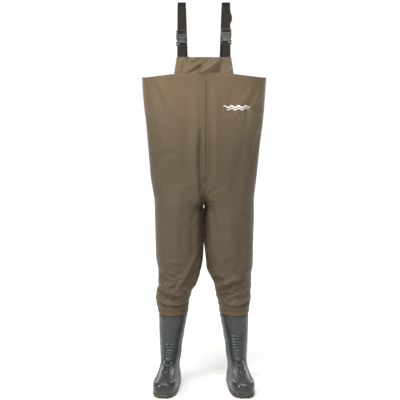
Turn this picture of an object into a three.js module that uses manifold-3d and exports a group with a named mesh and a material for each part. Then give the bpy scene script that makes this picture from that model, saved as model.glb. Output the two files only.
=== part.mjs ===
// Chest waders with moulded bootfeet: a sewn nylon suit, two PVC boots and a pair of buckled shoulder straps.
// Millimetres, +Z up, the front faces -Y, the wearer's left is +X. The origin is on the floor between the feet.
import * as THREE from 'three';
import { ParametricGeometry } from 'three/addons/geometries/ParametricGeometry.js';
import { mergeVertices } from 'three/addons/utils/BufferGeometryUtils.js';
import Module from 'manifold-3d';

const wasm = await Module();
wasm.setup();

// ---------------------------------------------------------------- driving dimensions
const GAP = 0.3; // between pieces that touch
const FABRIC = 2; // coated nylon with its seam allowance
const TOP_EDGE = 1250; // top edge of the trunk at the sides
const TOP_RISE = 8; // the front edge climbs this much to the bib
const CROTCH = 745;
const TRUNK_HALF_WIDTH = 246; // at the top edge
const TRUNK_SIDES = 36; // facets round each closed form
const TUBE_SIDES = 30; // legs and boots share this, so a leg's facets line up with the shaft it is tucked in
const BIB_HEIGHT = 74;
const BIB_TOP_HALF_WIDTH = 105;
const BIB_BASE_HALF_WIDTH = 118;
const HEM_DEPTH = 28; // turned-in hem at the top edge
const TAPE_WIDTH = 22; // seam tape inside the centre seams
const TAPE = 1; // its thickness
const PRINT = 0.6; // thickness of the chest print
const PRINT_LENGTH = 108;
const PRINT_HEIGHT = 22;
const PRINT_Z = 1136;

const BOOT_HEIGHT = 292;
const BOOT_WALL = 4;
const FOOT_LENGTH = 300;
const BALL_HALF_WIDTH = 53;
const SHAFT_HALF_WIDTH = 57.5;
const SOLE_THICKNESS = 16;
const CLEAT_DEPTH = 6;
const CLEAT_LENGTH = 17; // along the foot
const CLEAT_GAP = 8;
const INSOLE = 4;
const TOE_OUT = THREE.MathUtils.degToRad(6.5);
const BOOT_SPREAD = 137; // from the middle of the object to the middle of the ankle
const TUCK = 24; // length of leg inside the boot shaft
const BAND_HEIGHT = 22; // welded band round the leg above the boot
const BAND = 1.2;

const WEBBING_WIDTH = 32;
const WEBBING = 1.6;
const STRAP_SPREAD = 87; // from the middle of the object to the middle of a strap
const STRAP_LEAN = THREE.MathUtils.degToRad(20);
const SHOULDER_TOP = 1545;
const SHOULDER_RADIUS = 60;
const BACK_STRAP_TILT = THREE.MathUtils.degToRad(1.6);
const BACK_STRAP_SEWN = 46; // length sewn to the back panel
const ELASTIC = 2.2;
const TAB_SEWN = 52; // length of the front tab behind the bib
const TAIL_LENGTH = 76; // free webbing above the buckle
const BUCKLE_RISE = { left: 54, right: 46 }; // from the bib edge to the buckle along the strap

const BUCKLE_HALF_WIDTH = 20;
const BUCKLE_HALF_DEPTH = 5.5;
const BUCKLE_PLATE = 2;
const POST = 3.4; // side posts beside the webbing slots
const HOUSING_LENGTH = 36;
const MALE_LENGTH = 24;
const TAB_BAR_RADIUS = 2;
const TAB_SLOT = 5.4;
const LADDER_BAR_RADIUS = 1.6;
const FRONT_BAR = 3; // height of the outer ladder bar
const WAIST = 4.6; // depth of the finger hollows
const ARM_THICKNESS = 3.6;
const ARM_DEPTH = 5.6;
const ARM_LENGTH = 23;
const BARB = 3;
const TONGUE_HALF_WIDTH = 4.5;
const TONGUE_LENGTH = 17;

// ---------------------------------------------------------------- finishes
const finish = (color, roughness) => new THREE.MeshStandardMaterial({ color, roughness, metalness: 0 });
const nylon = finish(0x776450, 0.62);
const tape = finish(0x5f5444, 0.5);
const ink = finish(0xe4e2dc, 0.6);
const boot = finish(0x43494a, 0.28);
const tread = finish(0x2e2b28, 0.8);
const felt = finish(0x6d6a64, 0.95);
const webbing = finish(0x3b352f, 0.85);
const plastic = finish(0x2b2825, 0.3);

const waders = new THREE.Group();

// ---------------------------------------------------------------- solids
/** Turns a closed geometry into a manifold solid with its faces outwards. */
function solid(geometry) {
  const source = geometry.clone();
  source.deleteAttribute('normal');
  source.deleteAttribute('uv');
  const merged = mergeVertices(source, 1e-4);
  const corners = [];
  for (let i = 0; i < merged.index.count; i += 3) {
    const [a, b, c] = [0, 1, 2].map((k) => merged.index.getX(i + k));
    if (a !== b && b !== c && c !== a) corners.push(a, b, c);
  }
  const build = (triangles) => new wasm.Manifold(new wasm.Mesh({
    numProp: 3,
    vertProperties: new Float32Array(merged.attributes.position.array),
    triVerts: new Uint32Array(triangles),
  }));
  let made = build(corners);
  if (made.volume() < 0) {
    const turned = [];
    for (let i = 0; i < corners.length; i += 3) turned.push(corners[i], corners[i + 2], corners[i + 1]);
    made = build(turned);
  }
  return made;
}

/** Turns a manifold solid back into a geometry. */
function geometryOf(shape) {
  const data = shape.getMesh();
  const geometry = new THREE.BufferGeometry();
  geometry.setAttribute('position', new THREE.BufferAttribute(new Float32Array(data.vertProperties), 3));
  geometry.setIndex(new THREE.BufferAttribute(new Uint32Array(data.triVerts), 1));
  geometry.computeVertexNormals();
  return geometry;
}

/** Adds one named piece to a group. */
function piece(name, shape, material, parent = waders) {
  const mesh = new THREE.Mesh(geometryOf(shape), material);
  mesh.name = name;
  parent.add(mesh);
  return mesh;
}

/** A box between two corners. */
function box(x0, x1, y0, y1, z0, z1) {
  const geometry = new THREE.BoxGeometry(x1 - x0, y1 - y0, z1 - z0);
  return solid(geometry.translate((x0 + x1) / 2, (y0 + y1) / 2, (z0 + z1) / 2));
}

/** A round bar along X. */
function barAlongX(radius, halfLength, y, z) {
  const geometry = new THREE.CylinderGeometry(radius, radius, 2 * halfLength, 16);
  return solid(geometry.rotateZ(Math.PI / 2).translate(0, y, z));
}

/** An outline in the (Y, Z) plane, extruded along X from x0 to x1. */
function extrudeAcross(outline, x0, x1) {
  const geometry = new THREE.ExtrudeGeometry(new THREE.Shape(outline), { depth: x1 - x0, bevelEnabled: false });
  const axes = new THREE.Matrix4().makeBasis(
    new THREE.Vector3(0, 1, 0), new THREE.Vector3(0, 0, 1), new THREE.Vector3(1, 0, 0));
  return solid(geometry.applyMatrix4(axes).translate(x0, 0, 0));
}

/** An outline in the (X, Z) plane, extruded along Y from y0 to y1. */
function extrudeDeep(outline, y0, y1) {
  const geometry = new THREE.ExtrudeGeometry(new THREE.Shape(outline), { depth: y1 - y0, bevelEnabled: false });
  return solid(geometry.rotateX(Math.PI / 2).translate(0, y1, 0));
}

/** A flat band of webbing that follows a line in the (Y, Z) plane. */
function ribbon(line, thickness, width) {
  const sideOf = (sign) => line.map((point, i) => {
    const before = line[Math.max(i - 1, 0)];
    const after = line[Math.min(i + 1, line.length - 1)];
    const into = point.clone().sub(before).normalize();
    const out = after.clone().sub(point).normalize();
    if (i === 0) into.copy(out);
    if (i === line.length - 1) out.copy(into);
    const middle = into.clone().add(out).normalize();
    const reach = (sign * thickness) / 2 / Math.max(middle.dot(into), 0.5);
    return new THREE.Vector2(point.x - middle.y * reach, point.y + middle.x * reach);
  });
  return extrudeAcross([...sideOf(1), ...sideOf(-1).reverse()], -width / 2, width / 2);
}

/** Points of an arc in the (Y, Z) plane, between two angles in degrees. */
function arc(y, z, radius, from, to, steps) {
  return Array.from({ length: steps + 1 }, (_, i) => {
    const angle = THREE.MathUtils.degToRad(from + ((to - from) * i) / steps);
    return new THREE.Vector2(y + radius * Math.cos(angle), z + radius * Math.sin(angle));
  });
}

// ---------------------------------------------------------------- lofts
/**
 * A point on a level section. A section has a centre (x, y), half width `side`, depths `front` and `back`,
 * a squareness `power`, which `blunt` replaces in front, a turn `yaw`, and `egg`, which widens the front and
 * narrows the back.
 */
function onSection(section, turn, grow) {
  const angle = turn * 2 * Math.PI;
  const power = section.power ?? 2;
  const round = 2 / (Math.sin(angle) < 0 ? section.blunt ?? power : power);
  const across = Math.sign(Math.cos(angle)) * Math.abs(Math.cos(angle)) ** round;
  const along = Math.sign(Math.sin(angle)) * Math.abs(Math.sin(angle)) ** round;
  const depth = (along < 0 ? section.front : section.back) + grow;
  const side = (section.side + grow) * (1 - (section.egg ?? 0) * along);
  const yaw = section.yaw ?? 0;
  const [x, y] = [side * across, depth * along];
  return [
    section.x + x * Math.cos(yaw) - y * Math.sin(yaw),
    (section.y ?? 0) + x * Math.sin(yaw) + y * Math.cos(yaw),
  ];
}

/** A closed solid through level sections, listed from the lowest up, grown outwards by `grow`. */
function loft(sections, grow = 0, sides = TUBE_SIDES) {
  const rows = sections.length + 1;
  const place = (u, v, target) => {
    const row = Math.round(v * rows);
    const section = sections[Math.min(Math.max(row - 1, 0), sections.length - 1)];
    if (row === 0 || row === rows) {
      target.set(section.x, section.y ?? 0, section.z);
      return;
    }
    const [x, y] = onSection(section, (Math.round(u * sides) % sides) / sides, grow);
    target.set(x, y, section.z);
  };
  return solid(new ParametricGeometry(place, sides, rows));
}

// ---------------------------------------------------------------- the suit
const BIB_TOP = TOP_EDGE + TOP_RISE + BIB_HEIGHT;
const HIGH = BIB_TOP + 60; // the trunk's loft runs past the bib and is cut back

const trunkSections = [
  { z: CROTCH + 4, x: 0, y: 4, side: 190, front: 50, back: 58, power: 2.2 },
  { z: CROTCH + 35, x: 0, y: 2, side: 199, front: 104, back: 118, power: 2.3 },
  { z: CROTCH + 85, x: 0, side: 203, front: 122, back: 136, power: 2.35 },
  { z: 911, x: 0, side: 216, front: 126, back: 138, power: 2.4 },
  { z: 1024, x: 0, side: 228, front: 128, back: 135, power: 2.5 },
  { z: 1136, x: 0, side: 240, front: 129, back: 132, power: 2.6 },
  { z: TOP_EDGE, x: 0, side: TRUNK_HALF_WIDTH, front: 128, back: 128, power: 2.8 },
  { z: HIGH, x: 0, side: TRUNK_HALF_WIDTH, front: 128, back: 128, power: 2.8 },
];

const shaftSide = SHAFT_HALF_WIDTH;
const shaftFront = SHAFT_HALF_WIDTH + 12;
const shaftBack = SHAFT_HALF_WIDTH + 14;
const shaftShift = 13; // the shaft stands this much nearer the middle than the ankle

/** Places a section that is drawn in the boot's own frame into the object's frame. */
function inBootFrame(section, hand) {
  const yaw = hand * TOE_OUT;
  return {
    ...section,
    x: hand * BOOT_SPREAD + hand * section.x * Math.cos(yaw),
    y: hand * section.x * Math.sin(yaw),
    yaw,
  };
}

/** The leg between its inner and outer edges. */
function legSection(z, inner, outer, front, back, hand, power = 2.15) {
  return { z, x: (hand * (inner + outer)) / 2, side: (outer - inner) / 2, front, back, power };
}

/** One leg's sections from the tuck in the boot up into the trunk. */
function legSections(hand) {
  const inShaft = BOOT_WALL + GAP;
  const tucked = { x: -shaftShift, side: shaftSide - inShaft, front: shaftFront - inShaft, back: shaftBack - inShaft };
  const drawnIn = { ...tucked, side: tucked.side - 4, front: tucked.front - 4, back: tucked.back - 4 };
  const outside = { x: -shaftShift, side: shaftSide + 2.5, front: shaftFront + 2, back: shaftBack + 2 };
  const rim = BOOT_HEIGHT;
  return [
    inBootFrame({ ...drawnIn, z: rim - TUCK }, hand),
    inBootFrame({ ...tucked, z: rim + GAP }, hand),
    inBootFrame({ ...outside, z: rim + 4 }, hand),
    inBootFrame({ ...outside, side: outside.side + 2, z: rim + 4 + BAND_HEIGHT }, hand),
    legSection(rim + 56, 59, 191, 84, 88, hand),
    legSection(rim + 110, 43, 192, 92, 96, hand),
    legSection(rim + 162, 18, 189, 100, 101, hand),
    legSection(520, 5, 196, 107, 110, hand),
    legSection(600, 1.5, 199, 111, 118, hand, 2.2),
    legSection(CROTCH - 10, 1, 200, 115, 127, hand, 2.2),
    legSection(CROTCH + 70, 5, 196, 104, 116, hand, 2.2),
  ];
}

/** The whole suit as a solid, grown or shrunk by `grow`. */
function suit(grow) {
  const legs = [1, -1].map((hand) => loft(legSections(hand), grow, TUBE_SIDES));
  return loft(trunkSections, grow, TRUNK_SIDES).add(legs[0]).add(legs[1]);
}

/** Everything under the trunk's top edge, which rises to the front. */
function underTopEdge(drop) {
  const [front, side, back] = [TOP_EDGE + TOP_RISE - drop, TOP_EDGE - drop, TOP_EDGE - drop];
  const reach = 400;
  return extrudeAcross([
    new THREE.Vector2(-reach, 0), new THREE.Vector2(reach, 0), new THREE.Vector2(reach, back),
    new THREE.Vector2(0, side), new THREE.Vector2(-110, front), new THREE.Vector2(-reach, front),
  ], -reach, reach);
}

const openEnds = [1, -1].map((hand) => {
  const end = legSections(hand)[0];
  return loft([{ ...end, z: end.z - 40 }, { ...end, z: end.z + 1 }], -FABRIC, TUBE_SIDES);
});
const inside = suit(-FABRIC).add(openEnds[0]).add(openEnds[1]);
const fabricShell = suit(0).subtract(inside);
const trunkAndLegs = fabricShell.intersect(underTopEdge(0));

for (const [side, hand] of [['left', 1], ['right', -1]]) {
  const across = hand > 0 ? [GAP / 2, 400] : [-400, -GAP / 2];
  piece(`front_panel_${side}`, trunkAndLegs.intersect(box(...across, -400, -GAP / 2, 0, HIGH)), nylon);
  piece(`back_panel_${side}`, trunkAndLegs.intersect(box(...across, GAP / 2, 400, 0, HIGH)), nylon);
}

const bibOutline = [
  new THREE.Vector2(-BIB_BASE_HALF_WIDTH, TOP_EDGE), new THREE.Vector2(BIB_BASE_HALF_WIDTH, TOP_EDGE),
  new THREE.Vector2(BIB_TOP_HALF_WIDTH, BIB_TOP), new THREE.Vector2(-BIB_TOP_HALF_WIDTH, BIB_TOP),
];
const aboveSeam = box(-300, 300, -400, 0, TOP_EDGE + TOP_RISE + GAP, HIGH);
piece('bib_panel', fabricShell.intersect(extrudeDeep(bibOutline, -400, 0)).intersect(aboveSeam), nylon);

// The turned-in hem lies against the inside of the top edge, in front and behind.
const linedShell = (outer, inner) => suit(-FABRIC - outer).subtract(suit(-FABRIC - inner));
const facing = linedShell(GAP, GAP + 1.2).intersect(underTopEdge(1)).subtract(underTopEdge(HEM_DEPTH));
const seamClear = TAPE_WIDTH / 2 + 1;
piece('hem_facing_back', facing.intersect(box(-400, 400, GAP, 400, 0, HIGH)), nylon);
piece('hem_facing_left', facing.intersect(box(seamClear, 400, -400, -GAP, 0, HIGH)), nylon);
piece('hem_facing_right', facing.intersect(box(-400, -seamClear, -400, -GAP, 0, HIGH)), nylon);

const tapeShell = linedShell(GAP, GAP + TAPE).intersect(underTopEdge(2));
const seamReach = CROTCH + 90;
const tapeSlab = (y0, y1, top) => box(-TAPE_WIDTH / 2, TAPE_WIDTH / 2, y0, y1, seamReach, top);
piece('seam_tape_front', tapeShell.intersect(tapeSlab(-400, 0, HIGH)), tape);
piece('seam_tape_back', tapeShell.intersect(tapeSlab(0, 400, TOP_EDGE - HEM_DEPTH - 1)), tape);

/** The print on the wearer's left chest: one plain wavy band. */
function chestPrint() {
  const waves = 4;
  const outline = [];
  const steps = waves * 8;
  const crest = (t) => Math.sin(t * waves * 2 * Math.PI) * PRINT_HEIGHT * 0.25;
  for (let i = 0; i <= steps; i++) {
    outline.push(new THREE.Vector2((i / steps) * PRINT_LENGTH, crest(i / steps) + PRINT_HEIGHT * 0.16));
  }
  for (let i = steps; i >= 0; i--) {
    outline.push(new THREE.Vector2((i / steps) * PRINT_LENGTH, crest(i / steps) - PRINT_HEIGHT * 0.16));
  }
  const start = 74;
  const prism = extrudeDeep(outline, -400, 0).translate([start, 0, PRINT_Z]);
  return suit(GAP + PRINT).subtract(suit(GAP)).intersect(prism);
}
piece('chest_print', chestPrint(), ink);

for (const [side, hand] of [['left', 1], ['right', -1]]) {
  const foot = BOOT_HEIGHT + 4 + GAP;
  const ring = loft(legSections(hand), GAP + BAND, TUBE_SIDES).subtract(loft(legSections(hand), GAP, TUBE_SIDES));
  piece(`leg_band_${side}`, ring.intersect(box(-400, 400, -400, 400, foot, foot + BAND_HEIGHT - 2)), nylon);
}

// ---------------------------------------------------------------- the boots
const heelBack = FOOT_LENGTH * 0.26;
const toeFront = FOOT_LENGTH - heelBack;
const footBase = SOLE_THICKNESS + GAP;

/** The boot upper's sections in the boot's own frame, from the sole up. */
const bootSections = [
  {
    z: footBase, x: 0, side: BALL_HALF_WIDTH - 10.8, front: toeFront - 5, back: heelBack - 3,
    power: 2.5, blunt: 3.3, egg: 0.31,
  },
  {
    z: 42, x: 0, side: BALL_HALF_WIDTH - 11.3, front: toeFront - 3, back: heelBack - 4,
    power: 2.5, blunt: 3.3, egg: 0.31,
  },
  {
    z: 60, x: 0, side: BALL_HALF_WIDTH - 14.5, front: toeFront - 12, back: heelBack - 6,
    power: 2.4, blunt: 3.1, egg: 0.28,
  },
  {
    z: 76, x: -1, side: BALL_HALF_WIDTH - 17, front: toeFront - 38, back: heelBack - 9,
    power: 2.3, blunt: 2.7, egg: 0.19,
  },
  { z: 94, x: -2, side: 36, front: 132, back: heelBack - 12, power: 2.2, blunt: 2.3, egg: 0.09 },
  { z: 112, x: -3, side: 38.5, front: 98, back: heelBack - 14, power: 2.1, egg: 0.04 },
  { z: 136, x: -3.5, side: 41, front: 73, back: heelBack - 14, power: 2.1 },
  { z: 166, x: -3.5, side: 43, front: 64, back: heelBack - 12, power: 2.1 },
  { z: 212, x: -6, side: 49.5, front: 64, back: heelBack - 9, power: 2.05 },
  { z: 255, x: -10, side: 54.5, front: 67, back: heelBack - 7 },
  { z: BOOT_HEIGHT, x: -shaftShift, side: shaftSide, front: shaftFront, back: shaftBack },
];

/** The boot's hollow: its sections drawn in by `inset`, over the floor, open at the top. */
function bootHollow(hand, inset, floor) {
  const raised = bootSections.filter((section) => section.z > floor + 4);
  const bottom = { ...bootSections[0], z: floor };
  const open = { ...bootSections[bootSections.length - 1], z: BOOT_HEIGHT + 20 };
  return loft([bottom, ...raised, open].map((section) => inBootFrame(section, hand)), -inset);
}

/** The sole's outline as a section, with its place under the boot. */
const soleSection = {
  x: 0, side: BALL_HALF_WIDTH - 9.5, front: toeFront, back: heelBack, power: 2.5, blunt: 3.3, egg: 0.31,
};

/** An outsole: a plate with cross cleats under the ball and a heel block. */
function outsole(hand) {
  const level = (z) => inBootFrame({ ...soleSection, z }, hand);
  const plate = loft([level(CLEAT_DEPTH), level(SOLE_THICKNESS)]);
  const tread0 = loft([level(0), level(CLEAT_DEPTH + 1)], -1.5);
  const pitch = CLEAT_LENGTH + CLEAT_GAP;
  const turned = (shape) => shape.rotate([0, 0, THREE.MathUtils.radToDeg(hand * TOE_OUT)])
    .translate([hand * BOOT_SPREAD, 0, 0]);
  let cleats = box(-90, 90, heelBack - 78, heelBack, 0, CLEAT_DEPTH + 1);
  for (let y = heelBack - 78 - CLEAT_GAP; y > -toeFront; y -= pitch) {
    cleats = cleats.add(box(-90, 90, y - CLEAT_LENGTH, y, 0, CLEAT_DEPTH + 1));
  }
  return plate.add(tread0.intersect(turned(cleats)));
}

for (const [side, hand] of [['left', 1], ['right', -1]]) {
  const outer = loft(bootSections.map((section) => inBootFrame(section, hand)));
  const floor = footBase + BOOT_WALL;
  piece(`boot_upper_${side}`, outer.subtract(bootHollow(hand, BOOT_WALL, floor)), boot);
  piece(`outsole_${side}`, outsole(hand), tread);
  const bed = { ...bootSections[0] };
  const bedLevel = (z) => inBootFrame({ ...bed, z }, hand);
  piece(`insole_${side}`, loft([bedLevel(floor + GAP), bedLevel(floor + GAP + INSOLE)], -BOOT_WALL - 1.5), felt);
}

// ---------------------------------------------------------------- the straps
/** The trunk's front or back wall at a given place across and a given height. */
function wallAt(x, sign, z = TOP_EDGE) {
  const above = trunkSections.findIndex((section) => section.z >= z);
  const [low, high] = [trunkSections[above - 1], trunkSections[above]];
  const share = (z - low.z) / (high.z - low.z);
  const between = (key) => THREE.MathUtils.lerp(low[key], high[key], share);
  const depth = between(sign < 0 ? 'front' : 'back');
  return sign * depth * (1 - (Math.abs(x) / between('side')) ** between('power')) ** (1 / between('power'));
}

const outerEdge = STRAP_SPREAD + WEBBING_WIDTH / 2;
const tabPlane = wallAt(outerEdge, -1) + FABRIC + GAP + WEBBING * 1.5 + GAP;
const strapFoot = new THREE.Vector2(tabPlane, BIB_TOP);
const strapUp = new THREE.Vector2(Math.sin(STRAP_LEAN), Math.cos(STRAP_LEAN));
const shoulderCentre = (() => {
  const z = SHOULDER_TOP - SHOULDER_RADIUS;
  const across = (SHOULDER_RADIUS + (z - strapFoot.y) * strapUp.x) / strapUp.y;
  return new THREE.Vector2(strapFoot.x + across, z);
})();
const mainLayer = 1.5; // the main webbing's plane behind the buckle's middle
const tailLayer = mainLayer - WEBBING - GAP;
const leanDegrees = THREE.MathUtils.radToDeg(STRAP_LEAN);

/** A point in a strap's leaning frame: `y` towards the back, `z` up along the strap. */
const leaning = (y, z) => new THREE.Vector2(
  strapFoot.x + y * strapUp.y + z * strapUp.x, strapFoot.y - y * strapUp.x + z * strapUp.y);

const buckleLength = HOUSING_LENGTH + GAP + MALE_LENGTH;
const ladderBarZ = buckleLength - FRONT_BAR - 2 * GAP - WEBBING - LADDER_BAR_RADIUS - 1.7;
const ladderBarY = mainLayer - WEBBING / 2 - GAP - LADDER_BAR_RADIUS;
const tabBarZ = TAB_BAR_RADIUS;
const tabTurn = TAB_BAR_RADIUS + GAP + WEBBING / 2;

/** The tab: two layers behind the bib, up to the housing's bar, round it and down again. */
function tabLine(rise) {
  const bar = rise + tabBarZ;
  const nose = arc(0, bar, tabTurn, 0, 180, 10).map((point) => leaning(point.x, point.y));
  const apart = (WEBBING + GAP) / 2;
  const back = new THREE.Vector2(tabPlane + apart, BIB_TOP - TAB_SEWN);
  const front = new THREE.Vector2(tabPlane - apart, BIB_TOP - TAB_SEWN + 8);
  return [
    back, new THREE.Vector2(tabPlane + apart, BIB_TOP - 2), leaning(apart, 10),
    leaning(apart + 0.4, bar - 12), ...nose, leaning(-apart - 0.4, bar - 12),
    leaning(-apart, 10), new THREE.Vector2(tabPlane - apart, BIB_TOP - 2), front,
  ];
}

/** The housing that the tab holds, with its mouth upwards. */
function housing() {
  const half = BUCKLE_HALF_WIDTH;
  const deep = BUCKLE_HALF_DEPTH;
  const slotTop = 2 * TAB_BAR_RADIUS + TAB_SLOT;
  const windowFrom = slotTop + 3;
  const windowTo = HOUSING_LENGTH - 8;
  const inner = half - POST - 1.2;
  const body = box(-half, half, -deep, deep, slotTop, HOUSING_LENGTH);
  const cavity = box(-inner, inner, -deep + BUCKLE_PLATE, deep - BUCKLE_PLATE, slotTop + 2, HOUSING_LENGTH + 1);
  const windows = box(-half - 1, half + 1, -deep + BUCKLE_PLATE, deep - BUCKLE_PLATE, windowFrom, windowTo);
  const hollowHeight = windowTo - windowFrom;
  const hollowRadius = (hollowHeight ** 2 / 4 + WAIST ** 2) / (2 * WAIST);
  const hollow = (hand) => solid(new THREE.CylinderGeometry(hollowRadius, hollowRadius, 4 * deep, 32)
    .translate(hand * (half - WAIST + hollowRadius), 0, (windowFrom + windowTo) / 2));
  const posts = [-1, 1].map((hand) => {
    const [x0, x1] = hand > 0 ? [half - POST, half] : [-half, -half + POST];
    return box(x0, x1, -TAB_BAR_RADIUS - 1, TAB_BAR_RADIUS + 1, 0, slotTop + 1);
  });
  return body.subtract(cavity).subtract(windows).subtract(hollow(1)).subtract(hollow(-1))
    .add(posts[0]).add(posts[1]).add(barAlongX(TAB_BAR_RADIUS, half - POST / 2, 0, tabBarZ));
}

/** The plug half without its arms: base, guide tongue, side posts and the two ladder bars. */
function plug() {
  const half = BUCKLE_HALF_WIDTH;
  const deep = BUCKLE_HALF_DEPTH;
  const low = HOUSING_LENGTH + GAP;
  const baseTop = ladderBarZ - LADDER_BAR_RADIUS - 2 * GAP - WEBBING - 1.2;
  const base = box(-half, half, -deep, deep, low, baseTop);
  const thin = deep - BUCKLE_PLATE - GAP;
  const tongue = box(-TONGUE_HALF_WIDTH, TONGUE_HALF_WIDTH, -thin, thin, low - TONGUE_LENGTH, low + 1);
  const posts = [-1, 1].map((hand) => {
    const [x0, x1] = hand > 0 ? [half - POST, half] : [-half, -half + POST];
    return box(x0, x1, -deep, mainLayer + 1, baseTop - 1, buckleLength);
  });
  const frontBar = box(-half, half, -deep, tailLayer - WEBBING / 2 - GAP, buckleLength - FRONT_BAR, buckleLength);
  return base.add(tongue).add(posts[0]).add(posts[1]).add(frontBar)
    .add(barAlongX(LADDER_BAR_RADIUS, half - POST / 2, ladderBarY, ladderBarZ));
}

const armRootX = BUCKLE_HALF_WIDTH - POST - 1.2 - GAP - ARM_THICKNESS;

/** One latch arm: a springy leg with a barb that stands in the housing's side window. */
function latchArm(hand) {
  const top = HOUSING_LENGTH - 0.1;
  const [inner, outer] = [armRootX, armRootX + ARM_THICKNESS];
  const catchZ = HOUSING_LENGTH - 8 - GAP;
  const outline = [
    [inner, top], [inner, top - ARM_LENGTH + 3], [inner + 1.6, top - ARM_LENGTH], [outer, top - ARM_LENGTH],
    [outer + BARB * 0.7, top - ARM_LENGTH + 5], [outer + BARB, catchZ - 3], [outer + BARB, catchZ],
    [outer, catchZ], [outer, top],
  ].map(([x, z]) => new THREE.Vector2(hand * x, z));
  return extrudeDeep(hand > 0 ? outline : outline.reverse(), -ARM_DEPTH / 2, ARM_DEPTH / 2);
}

/** The webbing's free end: round the inner ladder bar, behind the outer one and up in front of the main run. */
function tailLine(rise) {
  const turn = LADDER_BAR_RADIUS + 1.5 * GAP + WEBBING / 2;
  const round = arc(ladderBarY, rise + ladderBarZ, turn, 0, -250, 14);
  const top = rise + buckleLength;
  const upwards = [[tailLayer, top - FRONT_BAR], [tailLayer, top + TAIL_LENGTH]];
  return [...round, ...upwards.map(([y, z]) => new THREE.Vector2(y, z))].map((point) => leaning(point.x, point.y));
}

const shoulderStart = 180 - leanDegrees; // the angle at which the straight run meets the shoulder's arc
const arcRadius = SHOULDER_RADIUS;
const runTop = strapUp.dot(shoulderCentre.clone().sub(strapFoot));

/** The shoulder webbing: over the arc and down to its overlap with the back strap. */
function shoulderLine() {
  const centre = leaning(mainLayer + arcRadius, runTop);
  return arc(centre.x, centre.y, arcRadius, shoulderStart, 5, 16);
}

const shoulderArcCentre = leaning(mainLayer + arcRadius, runTop);
const backRadius = arcRadius + WEBBING / 2 + 2 * GAP + ELASTIC / 2;

/** The back strap: from its overlap on the shoulder webbing down to the back panel. */
function backLine() {
  const lowEnd = TOP_EDGE - BACK_STRAP_SEWN;
  const drift = (SHOULDER_TOP - lowEnd) * Math.sin(BACK_STRAP_TILT);
  const wall = wallAt(STRAP_SPREAD - drift - WEBBING_WIDTH / 2, 1, lowEnd) + 2 * GAP + ELASTIC / 2;
  const foot = new THREE.Vector2(wall, TOP_EDGE + 6);
  const across = foot.clone().sub(shoulderArcCentre);
  const tangent = Math.atan2(across.y, across.x) + Math.acos(backRadius / across.length());
  const leave = THREE.MathUtils.radToDeg(tangent);
  return [
    ...arc(shoulderArcCentre.x, shoulderArcCentre.y, backRadius, leave + 26, leave, 6),
    foot, new THREE.Vector2(wall, lowEnd),
  ];
}

for (const [side, hand] of [['left', 1], ['right', -1]]) {
  const rise = BUCKLE_RISE[side];
  const strap = new THREE.Group();
  strap.position.set(hand * STRAP_SPREAD, 0, 0);
  waders.add(strap);
  const buckle = new THREE.Group();
  const seat = leaning(0, rise);
  buckle.position.set(0, seat.x, seat.y);
  buckle.rotation.x = -STRAP_LEAN;
  strap.add(buckle);

  piece(`strap_tab_${side}`, ribbon(tabLine(rise), WEBBING, WEBBING_WIDTH), webbing, strap);
  piece(`buckle_housing_${side}`, housing(), plastic, buckle);
  piece(`buckle_plug_${side}`, plug(), plastic, buckle);
  piece(`latch_outer_${side}`, latchArm(hand), plastic, buckle);
  piece(`latch_inner_${side}`, latchArm(-hand), plastic, buckle);
  piece(`webbing_tail_${side}`, ribbon(tailLine(rise), WEBBING, WEBBING_WIDTH), webbing, strap);
  const runLine = [leaning(mainLayer, rise + ladderBarZ + 2 * GAP), leaning(mainLayer, runTop - GAP)];
  piece(`webbing_run_${side}`, ribbon(runLine, WEBBING, WEBBING_WIDTH), webbing, strap);
  piece(`webbing_shoulder_${side}`, ribbon(shoulderLine(), WEBBING, WEBBING_WIDTH), webbing, strap);

  const turn = new THREE.Group();
  turn.position.set(0, 0, SHOULDER_TOP);
  turn.rotation.y = hand * BACK_STRAP_TILT;
  strap.add(turn);
  const lowered = ribbon(backLine(), ELASTIC, WEBBING_WIDTH).translate([0, 0, -SHOULDER_TOP]);
  piece(`back_strap_${side}`, lowered, webbing, turn);
}

// The origin lies under the middle of the whole object.
const whole = new THREE.Box3().setFromObject(waders);
waders.position.y = -(whole.min.y + whole.max.y) / 2;

export default waders;
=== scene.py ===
"""Chest waders with moulded bootfeet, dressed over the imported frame.

Lengths are metres. The suit's own frame has its side seams in the plane y = 0. The row frame is that frame
moved along Y, so every piece is drawn in the suit's frame and moved once, when its mesh is made.
"""
from __future__ import annotations

import logging
import math
import sys
from dataclasses import dataclass, field
from enum import Enum
from typing import Iterable, Sequence

import bmesh
import bpy
import numpy as np
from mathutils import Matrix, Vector, noise


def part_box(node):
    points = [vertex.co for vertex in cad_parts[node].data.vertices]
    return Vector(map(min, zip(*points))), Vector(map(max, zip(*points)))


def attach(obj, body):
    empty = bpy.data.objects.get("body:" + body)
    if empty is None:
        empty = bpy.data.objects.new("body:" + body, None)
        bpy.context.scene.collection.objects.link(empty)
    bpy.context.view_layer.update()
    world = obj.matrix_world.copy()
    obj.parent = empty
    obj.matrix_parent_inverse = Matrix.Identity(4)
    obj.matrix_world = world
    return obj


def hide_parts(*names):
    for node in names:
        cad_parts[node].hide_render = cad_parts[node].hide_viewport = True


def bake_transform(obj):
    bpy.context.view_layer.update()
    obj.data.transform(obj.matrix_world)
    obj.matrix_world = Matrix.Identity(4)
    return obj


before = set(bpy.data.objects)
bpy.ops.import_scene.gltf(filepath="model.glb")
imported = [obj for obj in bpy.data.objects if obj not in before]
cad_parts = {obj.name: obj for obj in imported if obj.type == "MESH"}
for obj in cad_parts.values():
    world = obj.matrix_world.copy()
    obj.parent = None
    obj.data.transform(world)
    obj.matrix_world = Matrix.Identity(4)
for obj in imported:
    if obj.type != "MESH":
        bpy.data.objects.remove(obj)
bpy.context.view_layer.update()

log = logging.getLogger("waders")

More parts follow.
